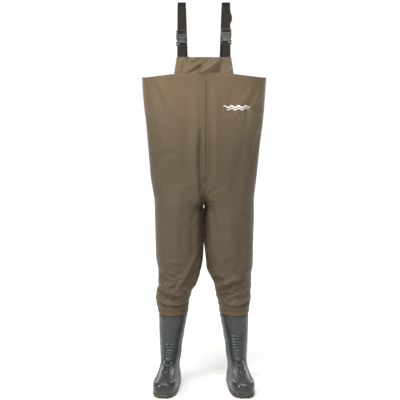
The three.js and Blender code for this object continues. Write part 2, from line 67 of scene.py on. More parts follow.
BIB_DEPTH = 0.128
TRUNK_HALF = 0.246  # half the trunk's width at its top edge
STRAP_SPREAD = 0.087  # from the middle to a strap's middle
TAB_CLEAR = 0.0175  # half the width that the bib keeps flat over a tab
TOE_OUT = math.radians(6.5)
SEED = 7


class Hand(Enum):
    """The wearer's left or right."""

    LEFT = 1
    RIGHT = -1

    @property
    def word(self) -> str:
        """The word that the node names use."""
        return self.name.lower()


class Face(Enum):
    """The front or the back of the suit."""

    FRONT = -1
    BACK = 1

    @property
    def word(self) -> str:
        """The word that the node names use."""
        return self.name.lower()


def frame_shift() -> float:
    """How far along Y the suit's own frame stands from the row frame."""
    low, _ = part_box("bib_panel")
    return low[1] + BIB_DEPTH


SHIFT = frame_shift()


# ------------------------------------------------------------------ shader tools
class Val:
    """A number on a shader socket, with Python's operators."""

    def __init__(self, maker: "NodeMaker", socket: bpy.types.NodeSocket) -> None:
        """Wraps a socket.

        Args:
            maker: the maker of the material's nodes.
            socket: the output that carries the number.
        """
        self.maker = maker
        self.socket = socket

    def _math(self, operation: str, *others: "Val | float") -> "Val":
        """Adds a Math node on this value and up to two more."""
        values = [self.socket, *(other.socket if isinstance(other, Val) else other for other in others)]
        out = self.maker.node("ShaderNodeMath", {"operation": operation}, dict(enumerate(values)))
        return Val(self.maker, out.outputs[0])

    def __add__(self, other: "Val | float") -> "Val":
        """Sum."""
        return self._math("ADD", other)

    __radd__ = __add__

    def __mul__(self, other: "Val | float") -> "Val":
        """Product."""
        return self._math("MULTIPLY", other)

    __rmul__ = __mul__

    def __sub__(self, other: "Val | float") -> "Val":
        """Difference."""
        return self._math("SUBTRACT", other)

    def __rsub__(self, other: float) -> "Val":
        """Difference, with this value taken away."""
        return self * -1.0 + other

    def power(self, exponent: float) -> "Val":
        """This value to a power."""
        return self._math("POWER", exponent)

    def sine(self) -> "Val":
        """The sine of this value."""
        return self._math("SINE")

    def size(self) -> "Val":
        """The absolute value."""
        return self._math("ABSOLUTE")

    def ramp(self, low: float, high: float, to_low: float = 0.0, to_high: float = 1.0) -> "Val":
        """A smooth step from low to high.

        Args:
            low: where the step starts.
            high: where it ends.
            to_low: the result below low.
            to_high: the result above high.

        Returns:
            The stepped value.
        """
        out = self.maker.node(
            "ShaderNodeMapRange",
            {"interpolation_type": "SMOOTHSTEP"},
            {"Value": self.socket, "From Min": low, "From Max": high, "To Min": to_low, "To Max": to_high},
        )
        return Val(self.maker, out.outputs[0])


class NodeMaker:
    """Builds one material's nodes."""

    def __init__(self, name: str) -> None:
        """Starts an empty node material.

        Args:
            name: the material's name.
        """
        self.material = bpy.data.materials.new(name)
        self.material.use_nodes = True
        self.tree = self.material.node_tree
        self.tree.nodes.clear()
        self.coordinates = self.node("ShaderNodeTexCoord", {}, {})

    def node(self, kind: str, settings: dict, inputs: dict) -> bpy.types.Node:
        """Adds a node.

        Args:
            kind: the node's type.
            settings: properties to set first.
            inputs: socket name or number to a value or an output socket.

        Returns:
            The node.
        """
        made = self.tree.nodes.new(kind)
        for key, value in settings.items():
            setattr(made, key, value)
        for key, value in inputs.items():
            if isinstance(value, Val):
                value = value.socket
            if isinstance(value, bpy.types.NodeSocket):
                self.tree.links.new(value, made.inputs[key])
            else:
                made.inputs[key].default_value = value
        return made

    def place(self, scale: Sequence[float] = (1, 1, 1), turn: Sequence[float] = (0, 0, 0), uv: bool = False):
        """Object or UV coordinates through a Mapping node."""
        source = self.coordinates.outputs["UV" if uv else "Object"]
        inputs = {"Vector": source, "Scale": tuple(scale), "Rotation": tuple(turn)}
        made = self.node("ShaderNodeMapping", {}, inputs)
        return made.outputs[0]

    def axis(self, letter: str, uv: bool = False) -> Val:
        """One coordinate as a value."""
        source = self.coordinates.outputs["UV" if uv else "Object"]
        made = self.node("ShaderNodeSeparateXYZ", {}, {0: source})
        return Val(self, made.outputs[letter])

    def attribute(self, name: str) -> Val:
        """A mesh's own attribute as a value."""
        made = self.node("ShaderNodeAttribute", {"attribute_name": name}, {})
        return Val(self, made.outputs["Fac"])

    def noise(self, scale: float, detail: float = 4.0, roughness: float = 0.55, where=None) -> Val:
        """Noise from 0 to 1."""
        made = self.node(
            "ShaderNodeTexNoise",
            {},
            {"Vector": where or self.place(), "Scale": scale, "Detail": detail, "Roughness": roughness},
        )
        return Val(self, made.outputs[0])

    def mix(self, factor: Val | float, low, high):
        """A colour between two colours."""
        made = self.node("ShaderNodeMix", {"data_type": "RGBA"}, {0: factor, 6: low, 7: high})
        return made.outputs[2]

    def bump(self, height: Val, strength: float, distance: float, below=None):
        """A bumped normal, over another one if given."""
        inputs = {"Height": height, "Strength": strength, "Distance": distance}
        if below is not None:
            inputs["Normal"] = below
        return self.node("ShaderNodeBump", {}, inputs).outputs[0]

    def surface(self, inputs: dict) -> bpy.types.Material:
        """Ends the material in a Principled shader.

        Args:
            inputs: the shader's sockets.

        Returns:
            The finished material.
        """
        shader = self.node("ShaderNodeBsdfPrincipled", {}, inputs)
        self.node("ShaderNodeOutputMaterial", {}, {"Surface": shader.outputs[0]})
        return self.material


Colour = tuple[float, float, float]


def shade(colour: Colour, by: float = 1.0) -> tuple[float, float, float, float]:
    """A colour, made lighter or darker, with its alpha."""
    return (colour[0] * by, colour[1] * by, colour[2] * by, 1.0)


@dataclass(frozen=True)
class Nylon:
    """Coated nylon: a fine plain weave, a low sheen, handling marks, and painted shade that darkens it below
    the waist.
    """

    name: str = "coated_nylon"
    colour: Colour = (0.094, 0.067, 0.036)
    thread: float = 0.0011

    def build(self) -> bpy.types.Material:
        """Makes the material."""
        m = NodeMaker(self.name)
        broad = m.noise(5.0, 3.0, 0.5)
        cloud = m.noise(22.0, 5.0, 0.6)
        slub = m.noise(1.0, 3.0, 0.6, m.place((900, 60, 1), uv=True))
        slub_across = m.noise(1.0, 3.0, 0.6, m.place((60, 900, 1), uv=True))
        threads = slub * 0.5 + slub_across * 0.5
        r, g, b = self.colour
        cooler, warmer = (r * 0.97, g * 0.95, b, 1), (r * 1.04, g * 1.05, b * 0.92, 1)
        tone = m.mix(broad.ramp(0.35, 0.65), cooler, warmer)
        tone = m.mix(cloud.ramp(0.35, 0.75) * 0.5, tone, shade(self.colour, 1.14))
        tone = m.mix(threads.ramp(0.35, 0.65) * 0.35, tone, shade(self.colour, 0.78))
        # painted shade: the cloth goes darker below the waist and darker again over the calves, as if less
        # light reached the lower body
        tone = m.mix(m.axis("Z").ramp(0.90, 1.2, 0.9, 0.0), tone, shade(self.colour, 0.60))
        tone = m.mix(m.axis("Z").ramp(0.34, 0.48, 0.5, 0.0), tone, shade(self.colour, 0.84))
        turns = 2 * math.pi / self.thread
        warp = (m.axis("X", True) * turns).sine()
        weft = (m.axis("Y", True) * turns).sine()
        weave = warp * weft
        lower = m.bump(cloud, 0.12, 0.002)
        normal = m.bump(weave + threads * 1.5, 0.16, 0.0004, lower)
        rough = cloud.ramp(0.3, 0.7, 0.5, 0.62)
        return m.surface({
            "Base Color": tone, "Roughness": rough, "Normal": normal, "Specular IOR Level": 0.28,
            "Sheen Weight": 0.04, "Sheen Roughness": 0.4,
        })


@dataclass(frozen=True)
class Webbing:
    """Woven webbing: ribs along its length and a fine pick across them."""

    name: str = "webbing"
    colour: Colour = (0.0165, 0.0132, 0.0102)
    rib: float = 0.0016
    pick: float = 0.0022

    def build(self) -> bpy.types.Material:
        """Makes the material."""
        m = NodeMaker(self.name)
        ribs = (m.axis("X", True) * (2 * math.pi / self.rib)).sine()
        picks = (m.axis("Y", True) * (2 * math.pi / self.pick) + ribs * 1.2).sine()
        fuzz = m.noise(900.0, 4.0, 0.7)
        wear = m.noise(40.0, 4.0, 0.6)
        height = ribs * 0.6 + picks * 0.4
        tone = m.mix(height.ramp(-0.8, 0.9), shade(self.colour, 0.6), shade(self.colour, 1.25))
        tone = m.mix(wear.ramp(0.45, 0.8) * 0.4, tone, shade(self.colour, 1.6))
        tone = m.mix(fuzz.ramp(0.5, 0.8) * 0.25, tone, shade(self.colour, 1.9))
        # painted shade: the webbing and the elastic go much darker above z 1.53, where the straps turn over
        # the shoulders away from the light
        tone = m.mix(m.axis("Z").ramp(1.522, 1.534, 0.0, 0.85), tone, shade(self.colour, 0.25))
        normal = m.bump(height + fuzz * 0.4, 0.5, 0.0005)
        return m.surface({
            "Base Color": tone, "Roughness": wear.ramp(0.3, 0.7, 0.66, 0.8), "Normal": normal,
            "Specular IOR Level": 0.16,
        })


@dataclass(frozen=True)
class Moulded:
    """Glossy moulded PVC with flow marks, fine scuffs and a little dust."""

    name: str = "boot_pvc"
    colour: Colour = (0.020, 0.026, 0.026)
    dust: Colour = (0.066, 0.056, 0.048)
    gloss: float = 0.33

    def build(self) -> bpy.types.Material:
        """Makes the material."""
        m = NodeMaker(self.name)
        flow = m.noise(7.0, 3.0, 0.5, m.place((1, 1, 0.5)))
        grain = m.noise(420.0, 3.0, 0.6)
        scuff = m.noise(34.0, 7.0, 0.68, m.place((1, 1, 0.35)))
        worn, polished = m.attribute("worn"), m.attribute("polished")
        tone = m.mix(flow.ramp(0.3, 0.7), shade(self.colour, 0.9), shade(self.colour, 1.12))
        tone = m.mix(worn * (scuff * 0.5 + 0.55), tone, shade(self.dust))
        tone = m.mix(scuff.ramp(0.56, 0.85) * 0.35, tone, shade(self.dust, 0.8))
        rough = scuff.ramp(0.4, 0.8, self.gloss, self.gloss + 0.14) + worn * 0.2 - polished * 0.11
        lower = m.bump(flow, 0.15, 0.002)
        normal = m.bump(grain, 0.03, 0.0003, lower)
        return m.surface({
            "Base Color": tone, "Roughness": rough, "Normal": normal, "Specular IOR Level": 0.42,
            "Coat Weight": 0.06, "Coat Roughness": 0.12,
        })


@dataclass(frozen=True)
class Tread:
    """Matt tread compound with dry dust in its pores."""

    name: str = "tread"
    colour: Colour = (0.035, 0.03, 0.026)
    dust: Colour = (0.15, 0.11, 0.08)

    def build(self) -> bpy.types.Material:
        """Makes the material."""
        m = NodeMaker(self.name)
        cake = m.noise(45.0, 6.0, 0.65)
        pores = m.noise(320.0, 3.0, 0.6)
        high = m.axis("Z").ramp(0.002, 0.014)
        tone = m.mix(cake.ramp(0.4, 0.72) * (high * 0.6 + 0.15), shade(self.colour), shade(self.dust))
        normal = m.bump(pores + cake * 0.5, 0.35, 0.0006)
        return m.surface({"Base Color": tone, "Roughness": cake.ramp(0.3, 0.7, 0.62, 0.85), "Normal": normal})


@dataclass(frozen=True)
class Felt:
    """Grey needle felt of the footbed."""

    name: str = "felt"
    colour: Colour = (0.15, 0.145, 0.13)

    def build(self) -> bpy.types.Material:
        """Makes the material."""
        m = NodeMaker(self.name)
        fibre = m.noise(420.0, 6.0, 0.75, m.place((1, 0.25, 1)))
        tone = m.mix(fibre.ramp(0.35, 0.7), shade(self.colour, 0.7), shade(self.colour, 1.3))
        return m.surface({"Base Color": tone, "Roughness": 0.95, "Normal": m.bump(fibre, 0.5, 0.0008)})


@dataclass(frozen=True)
class Acetal:
    """Glossy moulded acetal of the buckles, with a fine spark texture."""

    name: str = "buckle"
    colour: Colour = (0.010, 0.009, 0.0095)
    rough: float = 0.28

    def build(self) -> bpy.types.Material:
        """Makes the material."""
        m = NodeMaker(self.name)
        spark = m.noise(1500.0, 2.0, 0.5)
        rub = m.noise(90.0, 5.0, 0.7)
        tone = m.mix(rub.ramp(0.5, 0.85) * 0.4, shade(self.colour), shade(self.colour, 2.2))
        return m.surface({
            "Base Color": tone, "Roughness": rub.ramp(0.3, 0.75, self.rough, self.rough + 0.12),
            "Normal": m.bump(spark, 0.06, 0.0002), "Specular IOR Level": 0.30,
        })


@dataclass(frozen=True)
class Thread:
    """Twisted polyester sewing thread."""

    name: str = "thread"
    colour: Colour = (0.1, 0.08, 0.055)

    def build(self) -> bpy.types.Material:
        """Makes the material."""
        m = NodeMaker(self.name)
        twist = m.noise(2600.0, 2.0, 0.5)
        tone = m.mix(twist.ramp(0.35, 0.65), shade(self.colour, 0.7), shade(self.colour, 1.35))
        return m.surface({"Base Color": tone, "Roughness": 0.6, "Normal": m.bump(twist, 0.4, 0.0002)})


@dataclass(frozen=True)
class Ink:
    """Screen-printed ink, thin over the weave and a little broken."""

    name: str = "ink"
    colour: Colour = (0.72, 0.71, 0.68)

    def build(self) -> bpy.types.Material:
        """Makes the material."""
        m = NodeMaker(self.name)
        broken = m.noise(700.0, 4.0, 0.6)
        tone = m.mix(broken.ramp(0.4, 0.7), shade(self.colour), shade(self.colour, 0.78))
        return m.surface({"Base Color": tone, "Roughness": 0.6, "Normal": m.bump(broken, 0.2, 0.0003)})


@dataclass(frozen=True)
class SeamTape:
    """Heat-sealed seam tape, smooth with a faint knit showing through."""

    name: str = "seam_tape"
    colour: Colour = (0.1, 0.085, 0.06)

    def build(self) -> bpy.types.Material:
        """Makes the material."""
        m = NodeMaker(self.name)
        knit = m.noise(500.0, 3.0, 0.5, m.place((1, 1, 0.3)))
        tone = m.mix(knit.ramp(0.35, 0.65), shade(self.colour, 0.85), shade(self.colour, 1.15))
        return m.surface({"Base Color": tone, "Roughness": 0.42, "Normal": m.bump(knit, 0.2, 0.0003)})


# ------------------------------------------------------------------ mesh tools
Grid = np.ndarray


def smooth(t: np.ndarray | float) -> np.ndarray | float:
    """Smoothstep of a value that is cut to 0..1."""
    t = np.clip(t, 0.0, 1.0)
    return t * t * (3 - 2 * t)


@dataclass(frozen=True)
class Profile:
    """A size that changes with height, as a smooth curve through a few heights."""

    points: dict[float, float]

    def at(self, z: np.ndarray | float) -> np.ndarray:
        """The size at a height, by a cubic that never overshoots."""
        heights = np.array(sorted(self.points))
        sizes = np.array([self.points[h] for h in sorted(self.points)])
        steps = np.diff(heights)
        slopes = np.diff(sizes) / steps
        tangents = np.zeros_like(sizes)
        tangents[0], tangents[-1] = slopes[0], slopes[-1]
        for i in range(1, len(sizes) - 1):
            if slopes[i - 1] * slopes[i] > 0:
                a, b = 2 * steps[i] + steps[i - 1], steps[i] + 2 * steps[i - 1]
                tangents[i] = (a + b) / (a / slopes[i - 1] + b / slopes[i])
        z = np.clip(np.asarray(z, float), heights[0], heights[-1])
        i = np.clip(np.searchsorted(heights, z, side="right") - 1, 0, len(steps) - 1)
        t = (z - heights[i]) / steps[i]
        return (
            (2 * t**3 - 3 * t**2 + 1) * sizes[i]
            + (t**3 - 2 * t**2 + t) * steps[i] * tangents[i]
            + (-2 * t**3 + 3 * t**2) * sizes[i + 1]
            + (t**3 - t**2) * steps[i] * tangents[i + 1]
        )


def grid_mesh(name: str, grid: Grid, closed: bool = False, caps: bool = False) -> bpy.types.Object:
    """Makes an object from rows of points.

    Args:
        name: the object's name.
        grid: rows by columns by 3, in the suit's frame.
        closed: whether each row closes on itself.
        caps: whether the first and the last row are filled.

    Returns:
        The object, with its points in the row frame.
    """
    rows, columns = grid.shape[:2]
    points = grid.reshape(-1, 3) + np.array([0, SHIFT, 0])
    across = np.zeros((rows, columns))
    across[:, 1:] = np.cumsum(np.linalg.norm(np.diff(grid, axis=1), axis=2), axis=1)
    along = np.zeros((rows, columns))
    along[1:] = np.cumsum(np.linalg.norm(np.diff(grid, axis=0), axis=2), axis=0)
    uv = np.stack([across, np.broadcast_to(along[:, columns // 2][:, None], across.shape)], axis=2)
    faces, corners = [], []
    last = columns if closed else columns - 1
    step = np.linalg.norm(grid[0, 0] - grid[0, -1]) if closed else 0.0
    for r in range(rows - 1):
        for c in range(last):
            d = (c + 1) % columns
            faces.append((r * columns + c, r * columns + d, (r + 1) * columns + d, (r + 1) * columns + c))
            wrap = (uv[r, c, 0] + step) if d == 0 else uv[r, d, 0]
            wrap_up = (uv[r + 1, c, 0] + step) if d == 0 else uv[r + 1, d, 0]
            corners += [(uv[r, c, 0], uv[r, c, 1]), (wrap, uv[r, d, 1]),
                        (wrap_up, uv[r + 1, d, 1]), (uv[r + 1, c, 0], uv[r + 1, c, 1])]
    if caps:
        for first in (0, (rows - 1) * columns):
            faces.append(tuple(range(first, first + columns)))
            corners += [(points[first + c][0], points[first + c][1]) for c in range(columns)]
    mesh = bpy.data.meshes.new(name)
    mesh.from_pydata(points.tolist(), [], faces)
    layer = mesh.uv_layers.new(name="cloth")
    layer.data.foreach_set("uv", np.array(corners, dtype=np.float32).ravel())
    mesh.polygons.foreach_set("use_smooth", [True] * len(mesh.polygons))
    mesh.update()
    made = bpy.data.objects.new(name, mesh)
    bpy.context.scene.collection.objects.link(made)
    return made


def outward(made: bpy.types.Object, inside: Sequence[float] | None = None) -> None:
    """Turns an open sheet's faces away from a point, or a closed shell's faces outwards."""
    form = bmesh.new()
    form.from_mesh(made.data)
    if inside is None:
        bmesh.ops.recalc_face_normals(form, faces=form.faces)
    else:
        centre = Vector(inside) + Vector((0, SHIFT, 0))
        facing = sum(
            f.normal.dot(f.calc_center_median() - Vector((centre.x, centre.y, f.calc_center_median().z)))
            * f.calc_area() for f in form.faces)
        if facing < 0:
            bmesh.ops.reverse_faces(form, faces=form.faces)
    form.to_mesh(made.data)
    form.free()


def solidified(made: bpy.types.Object, thickness: float, offset: float = -1.0,
               levels: int = 0) -> bpy.types.Object:
    """Gives a sheet its thickness, after an optional subdivision, and applies both."""
    if levels:
        finer = made.modifiers.new("finer", "SUBSURF")
        finer.levels = finer.render_levels = levels
        finer.boundary_smooth = "PRESERVE_CORNERS"
    wall = made.modifiers.new("wall", "SOLIDIFY")
    wall.thickness, wall.offset, wall.use_even_offset = thickness, offset, False
    return applied(made)


def applied(made: bpy.types.Object) -> bpy.types.Object:
    """Replaces an object's mesh by its evaluated one and drops its modifiers."""
    graph = bpy.context.evaluated_depsgraph_get()
    graph.update()
    plain = bpy.data.meshes.new_from_object(made.evaluated_get(graph))
    made.modifiers.clear()
    old = made.data
    made.data = plain
    plain.name = made.name
    if old.users == 0:
        bpy.data.meshes.remove(old)
    return made


def dress(made: bpy.types.Object, material: bpy.types.Material, body: str) -> bpy.types.Object:
    """Gives a piece its finish and its body, and logs it."""
    made.data.materials.clear()
    made.data.materials.append(material)
    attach(made, body)
    log.info("made %s: %d faces on %s", made.name, len(made.data.polygons), body)
    return made


def joined(name: str, parts: Iterable[bpy.types.Object]) -> bpy.types.Object:
    """Joins objects into the first one, without operators.

    Args:
        name: the joined object's name.
        parts: the objects, all at the origin.

    Returns:
        The joined object.
    """
    parts = list(parts)
    form = bmesh.new()
    for part in parts:
        form.from_mesh(part.data)
    mesh = bpy.data.meshes.new(name)
    form.to_mesh(mesh)
    form.free()
    for part in parts:
        bpy.data.objects.remove(part)
    made = bpy.data.objects.new(name, mesh)
    bpy.context.scene.collection.objects.link(made)
    return made


class StitchTree:
    """A Geometry Nodes tree that lays stitches along a line."""

    def __init__(self, material: bpy.types.Material) -> None:
        """Builds the tree once.

        Args:
            material: the thread's finish.
        """
        tree = bpy.data.node_groups.new("stitches", "GeometryNodeTree")
        self.tree = tree
        face = tree.interface
        face.new_socket("Geometry", in_out="INPUT", socket_type="NodeSocketGeometry")
        self.inputs = {}
        for label, value in (("Pitch", 0.004), ("Stitch Length", 0.0028), ("Thread Radius", 0.0004)):
            socket = face.new_socket(label, in_out="INPUT", socket_type="NodeSocketFloat")
            socket.default_value = value
            self.inputs[label] = socket.identifier
        seed = face.new_socket("Seed", in_out="INPUT", socket_type="NodeSocketInt")
        seed.default_value = SEED
        self.inputs["Seed"] = seed.identifier
        face.new_socket("Geometry", in_out="OUTPUT", socket_type="NodeSocketGeometry")
        new, link = tree.nodes.new, tree.links.new
        start, end = new("NodeGroupInput"), new("NodeGroupOutput")
        curve = new("GeometryNodeMeshToCurve")
        resample = new("GeometryNodeResampleCurve")
        resample.mode = "LENGTH"
        capsule = new("GeometryNodeMeshUVSphere")
        capsule.inputs["Segments"].default_value = 6
        capsule.inputs["Rings"].default_value = 5
        capsule.inputs["Radius"].default_value = 0.5
        size = new("ShaderNodeCombineXYZ")
        twice = new("ShaderNodeMath")
        twice.operation = "MULTIPLY"
        twice.inputs[1].default_value = 2.0
        tangent = new("GeometryNodeInputTangent")
        align = new("FunctionNodeAlignRotationToVector")
        align.axis = "Z"
        wobble = new("FunctionNodeRandomValue")
        wobble.data_type = "FLOAT_VECTOR"
        wobble.inputs["Min"].default_value = (-0.05, -0.05, 0)
        wobble.inputs["Max"].default_value = (0.05, 0.05, 0)
        to_turn = new("FunctionNodeEulerToRotation")
        turn = new("FunctionNodeRotateRotation")
        place = new("GeometryNodeInstanceOnPoints")
        realize = new("GeometryNodeRealizeInstances")
        paint = new("GeometryNodeSetMaterial")
        paint.inputs["Material"].default_value = material
        link(start.outputs["Geometry"], curve.inputs["Mesh"])
        link(curve.outputs["Curve"], resample.inputs["Curve"])
        link(start.outputs["Pitch"], resample.inputs["Length"])
        link(resample.outputs["Curve"], place.inputs["Points"])
        link(capsule.outputs["Mesh"], place.inputs["Instance"])
        link(start.outputs["Thread Radius"], twice.inputs[0])
        link(twice.outputs[0], size.inputs["X"])
        link(twice.outputs[0], size.inputs["Y"])
        link(start.outputs["Stitch Length"], size.inputs["Z"])
        link(size.outputs[0], place.inputs["Scale"])
        link(tangent.outputs[0], align.inputs["Vector"])
        link(start.outputs["Seed"], wobble.inputs["Seed"])
        link(wobble.outputs["Value"], to_turn.inputs[0])
        link(align.outputs[0], turn.inputs["Rotation"])
        link(to_turn.outputs[0], turn.inputs["Rotate By"])
        link(turn.outputs[0], place.inputs["Rotation"])
        link(place.outputs["Instances"], realize.inputs["Geometry"])
        link(realize.outputs["Geometry"], paint.inputs["Geometry"])
        link(paint.outputs["Geometry"], end.inputs["Geometry"])

    def sew(self, name: str, lines: Sequence[Grid], pitch: float = 0.004, length: float = 0.0028,
            radius: float = 0.0004) -> bpy.types.Object:
        """Lays stitches along lines.

        Args:
            name: the piece's name.
            lines: each a row of points in the suit's frame.
            pitch: from one stitch to the next.
            length: of a stitch.
            radius: of the thread.

        Returns:
            The stitches as one plain mesh.
        """
        points, edges = [], []
        for line in lines:
            first = len(points)
            points += (np.asarray(line) + np.array([0, SHIFT, 0])).tolist()
            edges += [(first + i, first + i + 1) for i in range(len(line) - 1)]
        mesh = bpy.data.meshes.new(name)
        mesh.from_pydata(points, edges, [])
        made = bpy.data.objects.new(name, mesh)
        bpy.context.scene.collection.objects.link(made)
        modifier = made.modifiers.new("stitches", "NODES")
        modifier.node_group = self.tree
        for label, value in (("Pitch", pitch), ("Stitch Length", length), ("Thread Radius", radius)):
            modifier[self.inputs[label]] = value
        modifier[self.inputs["Seed"]] = SEED
        made = applied(made)
        for polygon in made.data.polygons:
            polygon.use_smooth = True
        return made


# ------------------------------------------------------------------ the suit
@dataclass(frozen=True)
class Fold:
    """A soft crease along a bowed line on the front or the back of the suit.

    `start` and `end` are (x, z). `bow` moves the line's middle sideways. `depth` is positive for a ridge.
    """

    face: Face
    start: tuple[float, float]
    end: tuple[float, float]
    width: float
    depth: float
    bow: float = 0.0

    def at(self, x: np.ndarray, z: np.ndarray) -> np.ndarray:
        """The height of the crease at points of the suit's face."""
        a, b = np.array(self.start), np.array(self.end)
        along = b - a
        length = np.linalg.norm(along)
        along = along / length
        side = np.array([-along[1], along[0]])
        t = ((x - a[0]) * along[0] + (z - a[1]) * along[1]) / length
        held = np.clip(t, 0, 1)
        off = (x - a[0]) * side[0] + (z - a[1]) * side[1] - self.bow * 4 * held * (1 - held)
        ends = smooth((t + 0.12) / 0.3) * smooth((1.12 - t) / 0.3)
        sharp = np.exp(-((off / self.width) ** 2))
        shoulder = np.exp(-((off / (2.6 * self.width)) ** 2))
        return self.depth * ends * (1.35 * sharp - 0.35 * shoulder)


OUTER = {
    Hand.LEFT: Profile({
        0.268: 0.170, 0.290: 0.176, 0.299: 0.184, 0.318: 0.186, 0.34: 0.189, 0.366: 0.193, 0.40: 0.193,
        0.45: 0.192, 0.48: 0.196, 0.52: 0.199, 0.56: 0.199, 0.62: 0.200, 0.70: 0.203, 0.76: 0.203,
        0.80: 0.207, 0.855: 0.213,
        0.911: 0.218, 0.967: 0.2225, 1.024: 0.229, 1.08: 0.236, 1.136: 0.241, 1.19: 0.245, 1.25: 0.2485}),
    Hand.RIGHT: Profile({
        0.268: 0.170, 0.290: 0.176, 0.299: 0.183, 0.318: 0.188, 0.34: 0.193, 0.366: 0.192, 0.395: 0.190,
        0.42: 0.184, 0.45: 0.183, 0.48: 0.185, 0.52: 0.192, 0.56: 0.194, 0.62: 0.195, 0.70: 0.196,
        0.76: 0.197, 0.80: 0.203, 0.855: 0.212, 0.911: 0.217, 0.967: 0.222, 1.024: 0.227, 1.08: 0.232,
        1.136: 0.239, 1.19: 0.243, 1.25: 0.2455}),
}
INNER = {
    Hand.LEFT: Profile({
        0.268: 0.076, 0.290: 0.072, 0.299: 0.068, 0.318: 0.064, 0.342: 0.060, 0.366: 0.053, 0.395: 0.048,
        0.424: 0.041, 0.445: 0.028, 0.465: 0.018, 0.49: 0.011, 0.52: 0.008, 0.569: 0.003, 0.59: 0.0,
        0.725: 0.0, 0.730: 0.0022, 0.736: 0.0022, 0.742: 0.0, 0.745: 0.0}),
    Hand.RIGHT: Profile({
        0.268: 0.076, 0.290: 0.072, 0.299: 0.067, 0.318: 0.063, 0.342: 0.059, 0.366: 0.053, 0.395: 0.041,
        0.424: 0.026, 0.453: 0.016, 0.482: 0.010, 0.511: 0.004, 0.54: 0.001, 0.57: 0.0, 0.725: 0.0,
        0.730: 0.0022, 0.736: 0.0022, 0.742: 0.0, 0.745: 0.0}),
}
DEPTH = {
    Face.FRONT: Profile({
        0.268: 0.060, 0.290: 0.065, 0.299: 0.071, 0.318: 0.072, 0.348: 0.084, 0.402: 0.092, 0.454: 0.100,
        0.52: 0.107, 0.60: 0.112, 0.745: 0.117, 0.83: 0.123, 0.911: 0.127, 1.136: 0.129, 1.25: 0.128}),
    Face.BACK: Profile({
        0.268: 0.062, 0.290: 0.067, 0.299: 0.073, 0.318: 0.0745, 0.348: 0.088, 0.402: 0.096, 0.454: 0.101,
        0.52: 0.110, 0.60: 0.118, 0.745: 0.129, 0.83: 0.137, 0.911: 0.138, 1.024: 0.135,
        1.136: 0.132, 1.25: 0.128}),
}
SQUARE = Profile({0.268: 2.0, 0.32: 2.0, 0.5: 2.15, 0.745: 2.2, 0.83: 2.35, 0.911: 2.4, 1.136: 2.6,
                  1.25: 2.8})


